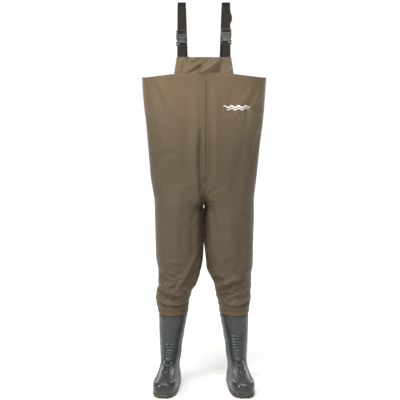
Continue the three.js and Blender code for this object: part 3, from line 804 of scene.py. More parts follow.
@dataclass
class Suit:
    """The sewn suit: four panels, bib, hems, seams, bands and the print."""

    crotch: float = 0.745
    blend: float = 0.15
    top_edge: float = 1.25
    top_rise: float = 0.017
    bib_top: float = 1.332
    bib_top_half: float = 0.105
    bib_base_half: float = 0.118
    bib_lap: float = 0.010
    low_edge: float = 0.268
    boot_top: float = 0.292
    fabric: float = 0.0011
    rows: int = 190
    columns: int = 52
    placket: float = 0.0065
    shaft_centre: float = 0.1241
    fold_gain: float = 1.0
    low_gain: float = 1.6
    folds: list[Fold] = field(default_factory=list)

    def __post_init__(self) -> None:
        """Lists the creases."""
        self.folds += [Fold(Face.FRONT, *crease) for crease in (
            # the long soft fold beside the centre seam, and its twin ridges
            ((0.020, 1.235), (0.026, 0.86), 0.011, -0.0065, 0.004),
            ((0.047, 1.20), (0.050, 0.90), 0.020, 0.0035, -0.006),
            ((-0.030, 1.22), (-0.034, 0.90), 0.022, 0.003, 0.004),
            ((-0.062, 1.16), (-0.085, 0.84), 0.020, -0.0026, 0.008),
            ((-0.013, 1.04), (-0.007, 0.78), 0.009, -0.0105, -0.004),
            ((0.0105, 1.26), (0.0100, 0.80), 0.0035, -0.0045, 0.0),
            ((-0.0105, 1.26), (-0.0105, 0.96), 0.0035, -0.0030, 0.0),
            ((0.004, 0.86), (0.004, 0.74), 0.014, -0.0110, 0.0),
            ((0.009, 0.76), (0.010, 0.60), 0.008, -0.0085, 0.0),
            ((-0.009, 0.76), (-0.010, 0.60), 0.008, -0.0085, 0.0),
            # drag lines from the top corners
            ((-0.205, 1.245), (-0.15, 1.03), 0.016, -0.004, 0.012),
            ((-0.175, 1.235), (-0.115, 1.10), 0.014, 0.003, 0.006),
            ((0.222, 1.235), (0.165, 1.05), 0.015, -0.0045, -0.012),
            ((0.195, 1.215), (0.13, 1.12), 0.013, 0.0035, -0.004),
            ((0.232, 1.16), (0.19, 0.98), 0.013, -0.003, -0.01),
            ((-0.215, 1.10), (-0.175, 0.90), 0.016, -0.003, 0.01),
            ((0.12, 1.24), (0.09, 1.13), 0.013, -0.002, 0.004),
            ((0.243, 1.165), (0.195, 1.120), 0.010, -0.0055, -0.006),
            ((0.236, 1.105), (0.200, 1.145), 0.009, -0.0045, 0.004),
            ((0.228, 1.050), (0.205, 0.960), 0.010, -0.0050, -0.005),
            ((-0.236, 1.120), (-0.205, 1.060), 0.010, -0.0045, 0.005),
            # waist and hip drape
            ((0.165, 1.00), (0.125, 0.80), 0.020, -0.0035, -0.010),
            ((-0.150, 0.99), (-0.115, 0.79), 0.020, -0.003, 0.010),
            ((0.190, 0.90), (0.150, 0.72), 0.018, 0.004, -0.008),
            ((-0.185, 0.89), (-0.150, 0.70), 0.018, 0.0035, 0.008),
            # creases that spread from the crotch
            ((0.012, 0.79), (0.075, 0.825), 0.008, -0.0030, 0.006),
            ((-0.012, 0.79), (-0.06, 0.82), 0.008, -0.0030, -0.006),
            ((0.010, 0.765), (0.055, 0.765), 0.007, -0.0030, -0.004),
            ((0.014, 0.75), (0.050, 0.68), 0.009, -0.0030, 0.004),
            ((-0.014, 0.75), (-0.050, 0.68), 0.009, -0.0030, -0.004),
            # thighs
            ((0.095, 0.74), (0.110, 0.53), 0.016, 0.0045, 0.006),
            ((-0.100, 0.74), (-0.105, 0.52), 0.016, 0.004, -0.006),
            ((0.150, 0.70), (0.155, 0.52), 0.014, -0.004, -0.004),
            ((-0.150, 0.71), (-0.150, 0.53), 0.014, -0.004, 0.004),
            ((0.045, 0.68), (0.052, 0.56), 0.012, -0.004, 0.003),
            ((-0.045, 0.66), (-0.040, 0.55), 0.012, -0.004, -0.003),
            # knees: the right one's run down and outwards from the inner thigh
            ((-0.006, 0.565), (-0.082, 0.420), 0.009, -0.0085, 0.004),
            ((-0.026, 0.560), (-0.102, 0.425), 0.010, 0.0055, 0.004),
            ((-0.022, 0.500), (-0.058, 0.425), 0.007, -0.0060, 0.003),
            ((-0.188, 0.480), (-0.140, 0.440), 0.009, -0.0050, -0.004),
            ((-0.186, 0.450), (-0.150, 0.420), 0.008, 0.0045, -0.003),
            ((0.020, 0.452), (0.078, 0.446), 0.007, -0.0070, 0.002),
            ((0.030, 0.470), (0.088, 0.560), 0.014, 0.0045, -0.006),
            ((0.046, 0.432), (0.150, 0.462), 0.011, 0.005, -0.006),
            ((0.056, 0.405), (0.165, 0.448), 0.010, -0.006, -0.005),
            # calves: bunched cloth above the boots
            ((-0.190, 0.395), (-0.105, 0.370), 0.008, -0.007, -0.005),
            ((-0.192, 0.372), (-0.085, 0.352), 0.008, 0.007, -0.006),
            ((-0.192, 0.352), (-0.100, 0.338), 0.007, -0.006, -0.004),
            ((-0.075, 0.385), (-0.150, 0.405), 0.008, 0.005, 0.003),
            ((-0.062, 0.350), (-0.135, 0.330), 0.007, -0.0045, 0.003),
            ((0.060, 0.385), (0.140, 0.400), 0.008, -0.006, -0.003),
            ((0.192, 0.400), (0.110, 0.372), 0.008, -0.006, 0.005),
            ((0.190, 0.365), (0.095, 0.350), 0.008, 0.0065, 0.004),
            ((0.188, 0.345), (0.090, 0.332), 0.007, -0.0055, 0.003),
        )]
        # the back hangs in its own way
        self.folds += [Fold(Face.BACK, *crease) for crease in (
            ((0.010, 1.20), (0.014, 0.90), 0.016, 0.004, 0.005),
            ((0.13, 1.22), (0.10, 0.95), 0.018, -0.005, -0.01),
            ((-0.12, 1.22), (-0.09, 0.97), 0.018, -0.005, 0.01),
            ((0.20, 1.12), (0.15, 0.90), 0.016, 0.004, -0.01),
            ((-0.21, 1.10), (-0.16, 0.88), 0.016, 0.004, 0.01),
            ((0.020, 0.80), (0.13, 0.76), 0.012, -0.006, -0.008),
            ((-0.020, 0.80), (-0.14, 0.75), 0.012, -0.006, 0.008),
            ((0.025, 0.76), (0.15, 0.70), 0.013, 0.005, -0.008),
            ((-0.025, 0.765), (-0.15, 0.69), 0.013, 0.005, 0.008),
            ((0.10, 0.68), (0.11, 0.52), 0.015, -0.004, 0.004),
            ((-0.11, 0.67), (-0.10, 0.52), 0.015, -0.004, -0.004),
            ((0.040, 0.47), (0.175, 0.50), 0.012, -0.007, -0.006),
            ((-0.035, 0.48), (-0.170, 0.50), 0.012, -0.007, 0.006),
            ((0.050, 0.44), (0.180, 0.455), 0.011, 0.006, 0.005),
            ((-0.045, 0.44), (-0.175, 0.46), 0.011, 0.006, -0.005),
            ((0.060, 0.40), (0.180, 0.385), 0.010, -0.007, 0.004),
            ((-0.060, 0.395), (-0.180, 0.38), 0.010, -0.007, -0.004),
            ((0.070, 0.36), (0.180, 0.350), 0.009, 0.006, 0.003),
            ((-0.070, 0.36), (-0.180, 0.345), 0.009, 0.006, -0.003),
        )]
        self.folds += self.small_folds()

    def small_folds(self) -> list[Fold]:
        """The short crumples of the calves and knees and the faint ones of the trunk, from a fixed seed."""
        draw = np.random.default_rng(SEED)
        made = []
        for face in Face:
            for hand in Hand:
                for low, high, count, depth, width, steep in (
                        (0.322, 0.375, 14, 0.0040, 0.0034, 0.25), (0.375, 0.460, 16, 0.0036, 0.0042, 0.45),
                        (0.460, 0.560, 10, 0.0030, 0.0056, 0.8), (0.62, 1.18, 16, 0.0018, 0.0090, 1.9)):
                    for _ in range(count):
                        x, z = draw.uniform(0.06, 0.185), draw.uniform(low, high)
                        length, lean = draw.uniform(0.035, 0.085), draw.normal(0, steep)
                        dx, dz = length * math.cos(lean), length * math.sin(lean)
                        sign = draw.choice((-1.0, -0.8, 0.9))
                        made.append(Fold(
                            face, (hand.value * x, z), (hand.value * (x + dx), z + dz),
                            width * draw.uniform(0.8, 1.3), sign * depth * draw.uniform(0.6, 1.2),
                            draw.uniform(-0.008, 0.008)))
        return made

    def curve(self, hand: Hand, face: Face, z: float, count: int) -> Grid:
        """One level line of a panel, from the centre or inner seam to the side seam.

        Args:
            hand: which half of the suit.
            face: its front or its back.
            z: the level.
            count: how many points, evenly spaced.

        Returns:
            The points, count by 3.
        """
        outer = float(OUTER[hand].at(z))
        depth = float(DEPTH[face].at(z))
        power = float(SQUARE.at(z))
        if z < self.crotch:
            inner = float(INNER[hand].at(z))
            centre, half, start = (inner + outer) / 2, (outer - inner) / 2, math.pi
        else:
            pinch = max(0.0, 1 - (z - self.crotch) / self.blend) ** 2.2
            centre = pinch * outer / (1 + pinch)
            half = outer / (1 + pinch)
            reach = (centre / half) ** (power / 2) if half else 0.0
            start = math.pi / 2 + math.asin(min(1.0, reach))
        angle = np.linspace(start, 0.0, count * 8)
        cosine, sine = np.cos(angle), np.abs(np.sin(angle))
        x = centre + half * np.sign(cosine) * np.abs(cosine) ** (2 / power)
        y = face.value * depth * sine ** (2 / power)
        near_boot = float(1 - smooth((z - 0.296) / 0.05))
        if near_boot > 0:
            yaw = TOE_OUT
            side = (outer - float(INNER[hand].at(z))) / 2 - 0.0005
            local_x, local_y = side * cosine, face.value * depth * sine
            turned_x = self.shaft_centre + local_x * math.cos(yaw) - local_y * math.sin(yaw)
            turned_y = local_x * math.sin(yaw) + local_y * math.cos(yaw) - 0.0018
            x = x * (1 - near_boot) + turned_x * near_boot
            y = y * (1 - near_boot) + turned_y * near_boot
        steps = np.concatenate([[0], np.cumsum(np.hypot(np.diff(x), np.diff(y)))])
        even = np.linspace(0, steps[-1], count)
        even_x, even_y = np.interp(even, steps, x), np.interp(even, steps, y)
        return np.stack([hand.value * even_x, even_y, np.full(count, z)], axis=1)

    def levels(self) -> np.ndarray:
        """The heights of the panels' rows, closer together where cloth bunches."""
        weight = Profile({0.268: 0.5, 0.36: 0.6, 0.5: 0.85, 0.70: 0.9, 0.75: 0.7, 0.80: 0.8,
                          0.95: 1.15, 1.25: 1.1})
        fine = np.linspace(self.low_edge, self.top_edge, 2000)
        cost = np.concatenate([[0], np.cumsum(1 / weight.at(fine[1:]))])
        return np.interp(np.linspace(0, cost[-1], self.rows), cost, fine)

    def plain_panel(self, hand: Hand, face: Face) -> Grid:
        """A panel without its creases."""
        return np.stack([self.curve(hand, face, float(z), self.columns) for z in self.levels()])

    def raise_top(self, grid: Grid) -> Grid:
        """Lifts the rows near the top edge, which climbs in front from the side seams to the bib."""
        out = grid.copy()
        across = np.clip((TRUNK_HALF - np.abs(grid[..., 0])) / (TRUNK_HALF - self.bib_base_half), 0, 1)
        lift = self.top_rise * across * smooth(-grid[..., 1] / 0.02)
        out[..., 2] += lift * smooth((grid[..., 2] - 0.95) / 0.30)
        return out

    def crease(self, grid: Grid, face: Face, normals: Grid) -> Grid:
        """Moves a panel's points along their normals by the creases and a slow ripple.

        Args:
            grid: the panel's points.
            face: front or back.
            normals: the outward normal at each point.

        Returns:
            The moved points.
        """
        x, y, z = grid[..., 0], grid[..., 1], grid[..., 2]
        facing = smooth((normals[..., 1] * face.value + 0.05) / 0.5)
        height = np.zeros_like(x)
        for fold in self.folds:
            if fold.face is face:
                height += fold.at(x, z) * facing
        height *= self.fold_gain + (self.low_gain - self.fold_gain) * (1 - smooth((z - 0.44) / 0.14))
        ripple = np.zeros_like(x)
        for index in np.ndindex(x.shape):
            p = Vector((x[index], y[index], z[index]))
            slow = noise.noise(Vector((p.x * 9, p.y * 9, p.z * 3.2)) + Vector((3, 1, 8)))
            bunch = noise.noise(Vector((p.x * 12, p.y * 12, p.z * 40)) + Vector((9, 4, 2)))
            low = 1 - float(smooth((p.z - 0.40) / 0.16))
            ripple[index] = 0.0028 * slow + 0.0045 * bunch * low
        held = smooth((z - 0.318) / 0.03) * (1 - 0.75 * smooth((z - 1.2) / 0.05))
        return grid + normals * ((height + ripple) * held)[..., None]

    def shape(self) -> None:
        """Works out the creased panels and their normals, joined at the seams."""
        self.skin: dict[tuple[Hand, Face], Grid] = {}
        self.normals: dict[tuple[Hand, Face], Grid] = {}
        for hand in Hand:
            for face in Face:
                grid = self.raise_top(self.plain_panel(hand, face))
                self.skin[hand, face] = grid
                self.normals[hand, face] = self.normals_of(grid, hand, face)
        self.join(self.normals, unit=True)
        for key, grid in self.skin.items():
            self.skin[key] = self.crease(grid, key[1], self.normals[key])
        self.join(self.skin, unit=False)
        for (hand, face), grid in self.skin.items():
            leg = grid[..., 2] < self.crotch - 0.004
            near = np.where(leg, 0.0001, 0.0)
            grid[..., 0] = hand.value * np.maximum(hand.value * grid[..., 0], near)
            self.normals[hand, face] = self.normals_of(grid, hand, face)
        self.join(self.normals, unit=True)

    def normals_of(self, grid: Grid, hand: Hand, face: Face) -> Grid:
        """The outward normals of a panel's points."""
        along = np.gradient(grid, axis=0)
        across = np.gradient(grid, axis=1)
        normal = np.cross(along, across)
        length = np.linalg.norm(normal, axis=2, keepdims=True)
        return normal / np.maximum(length, 1e-12) * (hand.value * face.value)

    def join(self, fields: dict[tuple[Hand, Face], Grid], unit: bool) -> None:
        """Makes panels agree along the side seams, the inner seams and the centre seams."""
        low = self.levels() < self.crotch
        high = ~low

        def share(*views: tuple[tuple[Hand, Face], np.ndarray, int]) -> None:
            """Gives columns of several panels their mean."""
            mean = sum(fields[key][rows, column] for key, rows, column in views) / len(views)
            if unit:
                mean /= np.maximum(np.linalg.norm(mean, axis=1, keepdims=True), 1e-9)
            for key, rows, column in views:
                fields[key][rows, column] = mean

        every = np.ones_like(low)
        for hand in Hand:
            share(((hand, Face.FRONT), every, -1), ((hand, Face.BACK), every, -1))
            share(((hand, Face.FRONT), low, 0), ((hand, Face.BACK), low, 0))
        for face in Face:
            share(((Hand.LEFT, face), high, 0), ((Hand.RIGHT, face), high, 0))

    def on_skin(self, face: Face, x: float, z: float, lift: float = 0.0) -> np.ndarray:
        """A point on the creased front or back at a place across and a level.

        Args:
            face: the front or the back.
            x: the place across.
            z: the level.
            lift: how far off the cloth, outwards.

        Returns:
            The point.
        """
        hand = Hand.LEFT if x >= 0 else Hand.RIGHT
        grid = self.skin[hand, face]
        numbers = np.arange(len(grid))
        guess = int(np.interp(z, grid[:, 3, 2], numbers))
        column = int(np.argmin(np.abs(grid[guess, :-4, 0] - x)))
        row = float(np.clip(np.interp(z, grid[:, column, 2], numbers), 0, len(grid) - 1.001))
        low, part = int(row), row - int(row)
        line = grid[low] * (1 - part) + grid[low + 1] * part
        ways = self.normals[hand, face][low]
        order = hand.value * line[:, 0]
        keep = max(2, int(np.argmax(order)) + 1)
        y = np.interp(abs(x), order[:keep], line[:keep, 1])
        out = np.array([np.interp(abs(x), order[:keep], ways[:keep, k]) for k in range(3)])
        return np.array([x, y, z]) + out * lift

    def ring(self, hand: Hand, z: float, lift: float) -> Grid:
        """A closed level loop round one leg, off the cloth by `lift`."""
        def line(face: Face) -> Grid:
            grid, ways = self.skin[hand, face], self.normals[hand, face]
            heights = grid[:, 3, 2]
            row = float(np.interp(z, heights, np.arange(len(heights))))
            low, part = min(int(row), len(heights) - 2), row - int(row)
            flat = grid[low] * (1 - part) + grid[low + 1] * part
            return flat + ways[low] * lift
        front, back = line(Face.FRONT), line(Face.BACK)
        return np.concatenate([front, back[::-1][1:-1]])

    def build(self, nylon: bpy.types.Material, ink: bpy.types.Material, tape: bpy.types.Material,
              stitches: StitchTree) -> None:
        """Makes every piece of the suit.

        Args:
            nylon: the cloth's finish.
            ink: the print's finish.
            tape: the seam tape's finish.
            stitches: the stitch tree.
        """
        self.shape()
        for hand in Hand:
            for face in Face:
                self.panel(hand, face, nylon)
            self.band(hand, nylon)
        self.bib(stitches)
        self.hems(nylon)
        self.centre_seams(nylon, tape)
        self.print_on_chest(ink)
        self.stitching(stitches)

    def panel(self, hand: Hand, face: Face, nylon: bpy.types.Material) -> None:
        """One of the four cloth panels."""
        name = f"{face.word}_panel_{hand.word}"
        grid = self.skin[hand, face]
        made = grid_mesh(f"cloth_{name}", grid)
        outward(made, (hand.value * 0.1, 0, 0))
        made = solidified(made, self.fabric, levels=1)
        dress(made, nylon, "suit")
        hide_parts(name)

    def band(self, hand: Hand, nylon: bpy.types.Material) -> None:
        """The welded band round a leg, over the boot's rim."""
        low, high = self.boot_top + 0.0035, self.boot_top + 0.0245
        levels = np.linspace(low, high, 7)
        lifts = 0.0004 + 0.0009 * np.sin(np.linspace(0, math.pi, 7)) ** 0.4
        grid = np.stack([self.ring(hand, float(z), float(lift)) for z, lift in zip(levels, lifts)])
        made = grid_mesh(f"leg_weld_{hand.word}", grid, closed=True)
        outward(made, (hand.value * self.shaft_centre, 0, 0))
        made = solidified(made, 0.0008, offset=-0.2, levels=1)
        dress(made, nylon, "suit")
        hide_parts(f"leg_band_{hand.word}")

    def bib_edge(self, z: float) -> float:
        """Half the bib's width at a level."""
        t = (z - self.top_edge) / (self.bib_top - self.top_edge)
        return self.bib_base_half + (self.bib_top_half - self.bib_base_half) * t

    def bib_surface(self, x: float, z: float) -> np.ndarray:
        """A point on the bib, with its creases."""
        power, side = float(SQUARE.at(1.25)), float(OUTER[Hand.LEFT].at(1.25))
        y = -BIB_DEPTH * (1 - abs(x / side) ** power) ** (1 / power)
        creases = [Fold(Face.FRONT, *crease) for crease in (
            ((0.066, 1.332), (-0.026, 1.264), 0.015, 0.0170, 0.003),
            ((0.106, 1.322), (0.030, 1.256), 0.017, -0.0125, 0.003),
            ((0.112, 1.300), (0.082, 1.258), 0.010, 0.0040, 0.002),
            ((0.046, 1.330), (-0.034, 1.286), 0.008, -0.0042, 0.003),
            ((-0.056, 1.334), (-0.074, 1.296), 0.006, -0.0070, -0.002),
            ((-0.044, 1.326), (-0.020, 1.296), 0.006, 0.0060, 0.002),
            ((-0.012, 1.308), (-0.074, 1.270), 0.007, 0.0085, -0.003),
            ((0.004, 1.296), (-0.048, 1.268), 0.006, -0.0045, -0.003),
            ((-0.088, 1.320), (-0.098, 1.272), 0.008, 0.0055, 0.002),
            ((0.084, 1.310), (0.062, 1.274), 0.006, 0.0040, 0.002),
        )]
        height = sum(float(fold.at(np.array(x), np.array(z))) for fold in creases)
        ripple = 0.0022 * noise.noise(Vector((x * 28, 5.0, z * 34)))
        above_seam = smooth((z - self.top_edge - self.top_rise) / 0.012)
        sewn = float(above_seam * smooth((self.bib_top - z) / 0.008 + 0.25))
        edge = float(smooth((self.bib_edge(z) - abs(x)) / 0.014 + 0.2))
        moved = (height + ripple) * sewn * edge
        off_tab = abs(abs(x) - STRAP_SPREAD) - TAB_CLEAR
        moved = max(moved, -0.0006 - 0.02 * float(smooth(off_tab / 0.02)))
        return np.array([x, y - moved, z])

    def bib(self, stitches: StitchTree) -> None:
        """The bib: a double layer with a turned edge on three sides."""
        low, high = self.top_edge + self.top_rise - self.bib_lap, self.bib_top
        levels = np.linspace(low, high, 44)
        across = np.linspace(-1, 1, 100)
        sag = [0.0015 * (1 - t * t) for t in across]
        grid = np.stack([
            np.stack([self.bib_surface(self.bib_edge(z) * t, float(z) - s * (z > high - 0.02) * 0.4)
                      for t, s in zip(across, sag)]) for z in levels])
        made = grid_mesh("cloth_bib", grid)
        outward(made, (0, 0, 0))
        made = solidified(made, 0.0016, levels=1)
        # the bib's cloth is a lighter copy of the nylon: painted light for the brighter light that falls on
        # the bib
        dress(made, Nylon("bib_nylon", (0.110, 0.080, 0.044)).build(), "suit")
        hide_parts("bib_panel")
        inset = 0.0045
        lift = np.array([0, -0.0002, 0])
        lines = []
        for row in (inset, inset + 0.006):
            top = [self.bib_surface(t * (self.bib_edge(high) - inset), high - row) + lift
                   for t in np.linspace(-1, 1, 60)]
            lines.append(np.array(top))
        for sign in (-1, 1):
            side = [self.bib_surface(sign * (self.bib_edge(z) - inset), z) + lift
                    for z in np.linspace(low + 0.012, high - inset, 24)]
            lines.append(np.array(side))
        seam = [self.bib_surface(t * self.bib_edge(low), low + self.bib_lap + 0.0035) + lift
                for t in np.linspace(-0.97, 0.97, 60)]
        lines.append(np.array(seam))
        # box-and-cross stitching that holds each strap's tab behind the bib
        for hand in Hand:
            box_middle, half_width = hand.value * STRAP_SPREAD, 0.011
            box_low, box_high = high - 0.042, high - 0.014
            corners = [(-1, box_low), (1, box_low), (1, box_high), (-1, box_high), (-1, box_low),
                       (1, box_high)]
            corners += [(-1, box_high), (1, box_low)]
            for (a, za), (b, zb) in zip(corners, corners[1:]):
                steps = [(a + (b - a) * t, za + (zb - za) * t) for t in np.linspace(0, 1, 12)]
                run = [self.bib_surface(box_middle + half_width * u, z) + lift for u, z in steps]
                lines.append(np.array(run))
        made = stitches.sew("bib_stitches", lines, 0.0036, 0.0027, 0.00035)
        dress(made, bpy.data.materials["thread"], "suit")

    def hems(self, nylon: bpy.types.Material) -> None:
        """The turned-in hems along the top edge, inside the cloth."""
        depth = 0.026
        def lining(hand: Hand, face: Face, skip: int) -> Grid:
            grid, ways = self.skin[hand, face], self.normals[hand, face]
            rows = np.nonzero(grid[:, 3, 2] > self.top_edge - depth)[0]
            inner = grid[rows] - ways[rows] * (self.fabric + 0.0006)
            inner[-1, :, 2] -= 0.0008
            return inner[:, skip:]
        for hand in Hand:
            made = grid_mesh(f"hem_{hand.word}", lining(hand, Face.FRONT, 2))
            outward(made, (hand.value * 0.1, 0, 0))
            made = solidified(made, 0.0008, levels=1)
            dress(made, nylon, "suit")
            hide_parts(f"hem_facing_{hand.word}")
        left, right = lining(Hand.LEFT, Face.BACK, 0), lining(Hand.RIGHT, Face.BACK, 0)
        made = grid_mesh("hem_back", np.concatenate([right[:, ::-1][:, :-1], left], axis=1))
        outward(made, (0, 0, 0))
        made = solidified(made, 0.0008, levels=1)
        dress(made, nylon, "suit")
        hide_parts("hem_facing_back")

    def strip(self, face: Face, half_width: float, low: float, high: float, lift: float) -> Grid:
        """A narrow strip over or under a centre seam."""
        levels = np.linspace(low, high, 110)
        across = np.linspace(-half_width, half_width, 7)
        return np.stack([
            np.stack([self.on_skin(face, float(x), float(z), lift) for x in across]) for z in levels])

    def centre_seams(self, nylon: bpy.types.Material, tape: bpy.types.Material) -> None:
        """The felled seams outside and the tapes inside the centre seams."""
        for face in Face:
            low = self.crotch + 0.10
            high = self.top_edge + (self.top_rise - 0.0012 if face is Face.FRONT else -0.0012)
            made = grid_mesh(f"felled_seam_{face.word}", self.strip(face, self.placket, low, high, 0.0009))
            outward(made, (0, 0, 0))
            made = solidified(made, 0.0009, levels=1)
            dress(made, nylon, "suit")
            inside = self.strip(face, 0.011, low, high - (0.03 if face is Face.BACK else 0.002), -0.0016)
            made = grid_mesh(f"tape_{face.word}", inside)
            outward(made, (0, 0, 0))
            made = solidified(made, 0.0005, levels=0)
            dress(made, tape, "suit")
            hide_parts(f"seam_tape_{face.word}")

    def print_on_chest(self, ink: bpy.types.Material) -> None:
        """Two plain wavy bands on the wearer's left chest."""
        start, length, middle = 0.074, 0.108, 1.136
        parts = []
        for drop, thickness, trim in ((0.0045, 0.0030, 0.0), (-0.0045, 0.0020, 0.014)):
            run = np.linspace(trim, length - trim * 0.4, 130)
            taper = np.sin(np.pi * np.clip((run - trim) / (length - 1.4 * trim), 0, 1)) ** 0.35
            wave = 0.0034 * np.sin(run / length * 4 * 2 * np.pi)
            rows = []
            for side in np.linspace(-1, 1, 4):
                heights = middle + drop + wave + side * thickness * taper
                rows.append(np.stack([self.on_skin(Face.FRONT, start + float(x), float(z), 0.0008)
                                      for x, z in zip(run, heights)]))
            parts.append(grid_mesh("print_band", np.stack(rows)))
        made = joined("chest_waves", parts)
        outward(made, (0.1, 0, 0))
        made = solidified(made, 0.00025)
        dress(made, ink, "suit")
        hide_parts("chest_print")

    def stitching(self, stitches: StitchTree) -> None:
        """Topstitching along the top edge, the centre seams, the side seams and the crotch."""
        lines = []
        for face in Face:
            high = self.top_edge + (self.top_rise if face is Face.FRONT else 0.0)
            for x in (-0.0045, 0.0045):
                lines.append(np.array([self.on_skin(face, x, float(z), 0.0012)
                                       for z in np.linspace(self.crotch + 0.105, high - 0.004, 260)]))
            for drop in (0.004, 0.024):
                for hand in Hand:
                    grid, ways = self.skin[hand, face], self.normals[hand, face]
                    edge = grid[-1] + ways[-1] * 0.0003
                    below = edge.copy()
                    below[:, 2] -= drop
                    lines.append(below)
        for hand in Hand:
            grid, ways = self.skin[hand, Face.FRONT], self.normals[hand, Face.FRONT]
            for column in (-1, -2):
                lines.append(grid[12:, column] + ways[12:, column] * 0.0002)
            low = grid[:, 3, 2] < self.crotch
            lines.append(grid[low][14:, 1] + ways[low][14:, 1] * 0.0002)
        made = stitches.sew("suit_stitches", lines, 0.0040, 0.0030, 0.00035)
        dress(made, bpy.data.materials["thread"], "suit")


# ------------------------------------------------------------------ the boots
class CleatTree:
    """A Geometry Nodes tree that sets one bar on each point, by the point's own size."""

    def __init__(self, material: bpy.types.Material) -> None:
        """Builds the tree once.

        Args:
            material: the tread's finish.
        """
        tree = bpy.data.node_groups.new("cleats", "GeometryNodeTree")
        self.tree = tree
        tree.interface.new_socket("Geometry", in_out="INPUT", socket_type="NodeSocketGeometry")
        turn = tree.interface.new_socket("Turn", in_out="INPUT", socket_type="NodeSocketFloat")
        self.turn = turn.identifier
        tree.interface.new_socket("Geometry", in_out="OUTPUT", socket_type="NodeSocketGeometry")
        new, link = tree.nodes.new, tree.links.new
        start, end = new("NodeGroupInput"), new("NodeGroupOutput")
        bar = new("GeometryNodeMeshCube")
        size = new("GeometryNodeInputNamedAttribute")
        size.data_type = "FLOAT_VECTOR"
        size.inputs["Name"].default_value = "size"
        angles = new("ShaderNodeCombineXYZ")
        to_turn = new("FunctionNodeEulerToRotation")
        place = new("GeometryNodeInstanceOnPoints")
        realize = new("GeometryNodeRealizeInstances")
        paint = new("GeometryNodeSetMaterial")
        paint.inputs["Material"].default_value = material
        link(start.outputs["Geometry"], place.inputs["Points"])
        link(bar.outputs["Mesh"], place.inputs["Instance"])
        link(size.outputs["Attribute"], place.inputs["Scale"])
        link(start.outputs["Turn"], angles.inputs["Z"])
        link(angles.outputs[0], to_turn.inputs[0])
        link(to_turn.outputs[0], place.inputs["Rotation"])
        link(place.outputs["Instances"], realize.inputs["Geometry"])
        link(realize.outputs["Geometry"], paint.inputs["Geometry"])
        link(paint.outputs["Geometry"], end.inputs["Geometry"])

    def lay(self, name: str, centres: Grid, sizes: Grid, turn: float) -> bpy.types.Object:
        """Sets the bars.

        Args:
            name: the piece's name.
            centres: a row of points in the suit's frame.
            sizes: each bar's width, length and height.
            turn: the bars' turn about Z.

        Returns:
            The bars as one plain mesh, with soft edges.
        """
        mesh = bpy.data.meshes.new(name)
        mesh.from_pydata((np.asarray(centres) + np.array([0, SHIFT, 0])).tolist(), [], [])
        layer = mesh.attributes.new("size", "FLOAT_VECTOR", "POINT")
        layer.data.foreach_set("vector", np.asarray(sizes, dtype=np.float32).ravel())
        made = bpy.data.objects.new(name, mesh)
        bpy.context.scene.collection.objects.link(made)
        modifier = made.modifiers.new("cleats", "NODES")
        modifier.node_group = self.tree
        modifier[self.turn] = turn
        soften(made, 0.0009)
        return applied(made)


def soften(made: bpy.types.Object, width: float, angle: float = 0.6) -> None:
    """Rounds an object's sharp edges with a bevel modifier."""
    bevel = made.modifiers.new("soft_edges", "BEVEL")
    bevel.width, bevel.segments, bevel.limit_method, bevel.angle_limit = width, 2, "ANGLE", angle
    bevel.harden_normals = False


def bead(distance: np.ndarray, half: float) -> np.ndarray:
    """A rounded ridge, 1 in its middle and 0 from `half` away."""
    return smooth(1 - np.abs(distance) / half)


LAST = {
    "x": Profile({0.060: 0, 0.076: -0.001, 0.094: -0.002, 0.112: -0.003, 0.166: -0.0035, 0.212: -0.006,
                  0.255: -0.010, 0.292: -0.013}),
    "side": Profile({
        0.0163: 0.0422, 0.042: 0.0417, 0.060: 0.0385, 0.076: 0.036, 0.094: 0.036, 0.112: 0.0385, 0.136: 0.041,
        0.166: 0.043, 0.212: 0.0495, 0.255: 0.0545, 0.292: 0.0575}),
    "front": Profile({
        0.0163: 0.217, 0.042: 0.219, 0.060: 0.210, 0.076: 0.184, 0.094: 0.132, 0.112: 0.098, 0.136: 0.073,
        0.166: 0.064, 0.212: 0.064, 0.255: 0.067, 0.292: 0.0695}),
    "back": Profile({
        0.0163: 0.075, 0.042: 0.074, 0.060: 0.072, 0.076: 0.069, 0.094: 0.066, 0.112: 0.064, 0.136: 0.064,
        0.166: 0.066, 0.212: 0.069, 0.255: 0.071, 0.292: 0.0715}),
    "power": Profile({0.0163: 2.5, 0.042: 2.5, 0.060: 2.4, 0.076: 2.3, 0.094: 2.2, 0.112: 2.1,
                      0.212: 2.05, 0.255: 2}),
    "blunt": Profile({0.0163: 3.3, 0.042: 3.3, 0.060: 3.1, 0.076: 2.7, 0.094: 2.3, 0.112: 2.1,
                      0.212: 2.05, 0.255: 2}),
    "egg": Profile({0.0163: 0.31, 0.042: 0.31, 0.060: 0.28, 0.076: 0.19, 0.094: 0.09, 0.112: 0.04, 0.136: 0}),
}
SOLE = {"x": 0.0, "side": 0.0435, "front": 0.222, "back": 0.078, "power": 2.5, "blunt": 3.3, "egg": 0.31}
COUNTER = Profile({0.026: 0.55, 0.06: 0.50, 0.10: 0.56, 0.14: 0.66, 0.17: 0.66, 0.20: 0.56,
                   0.225: 0.34, 0.242: 0.0})


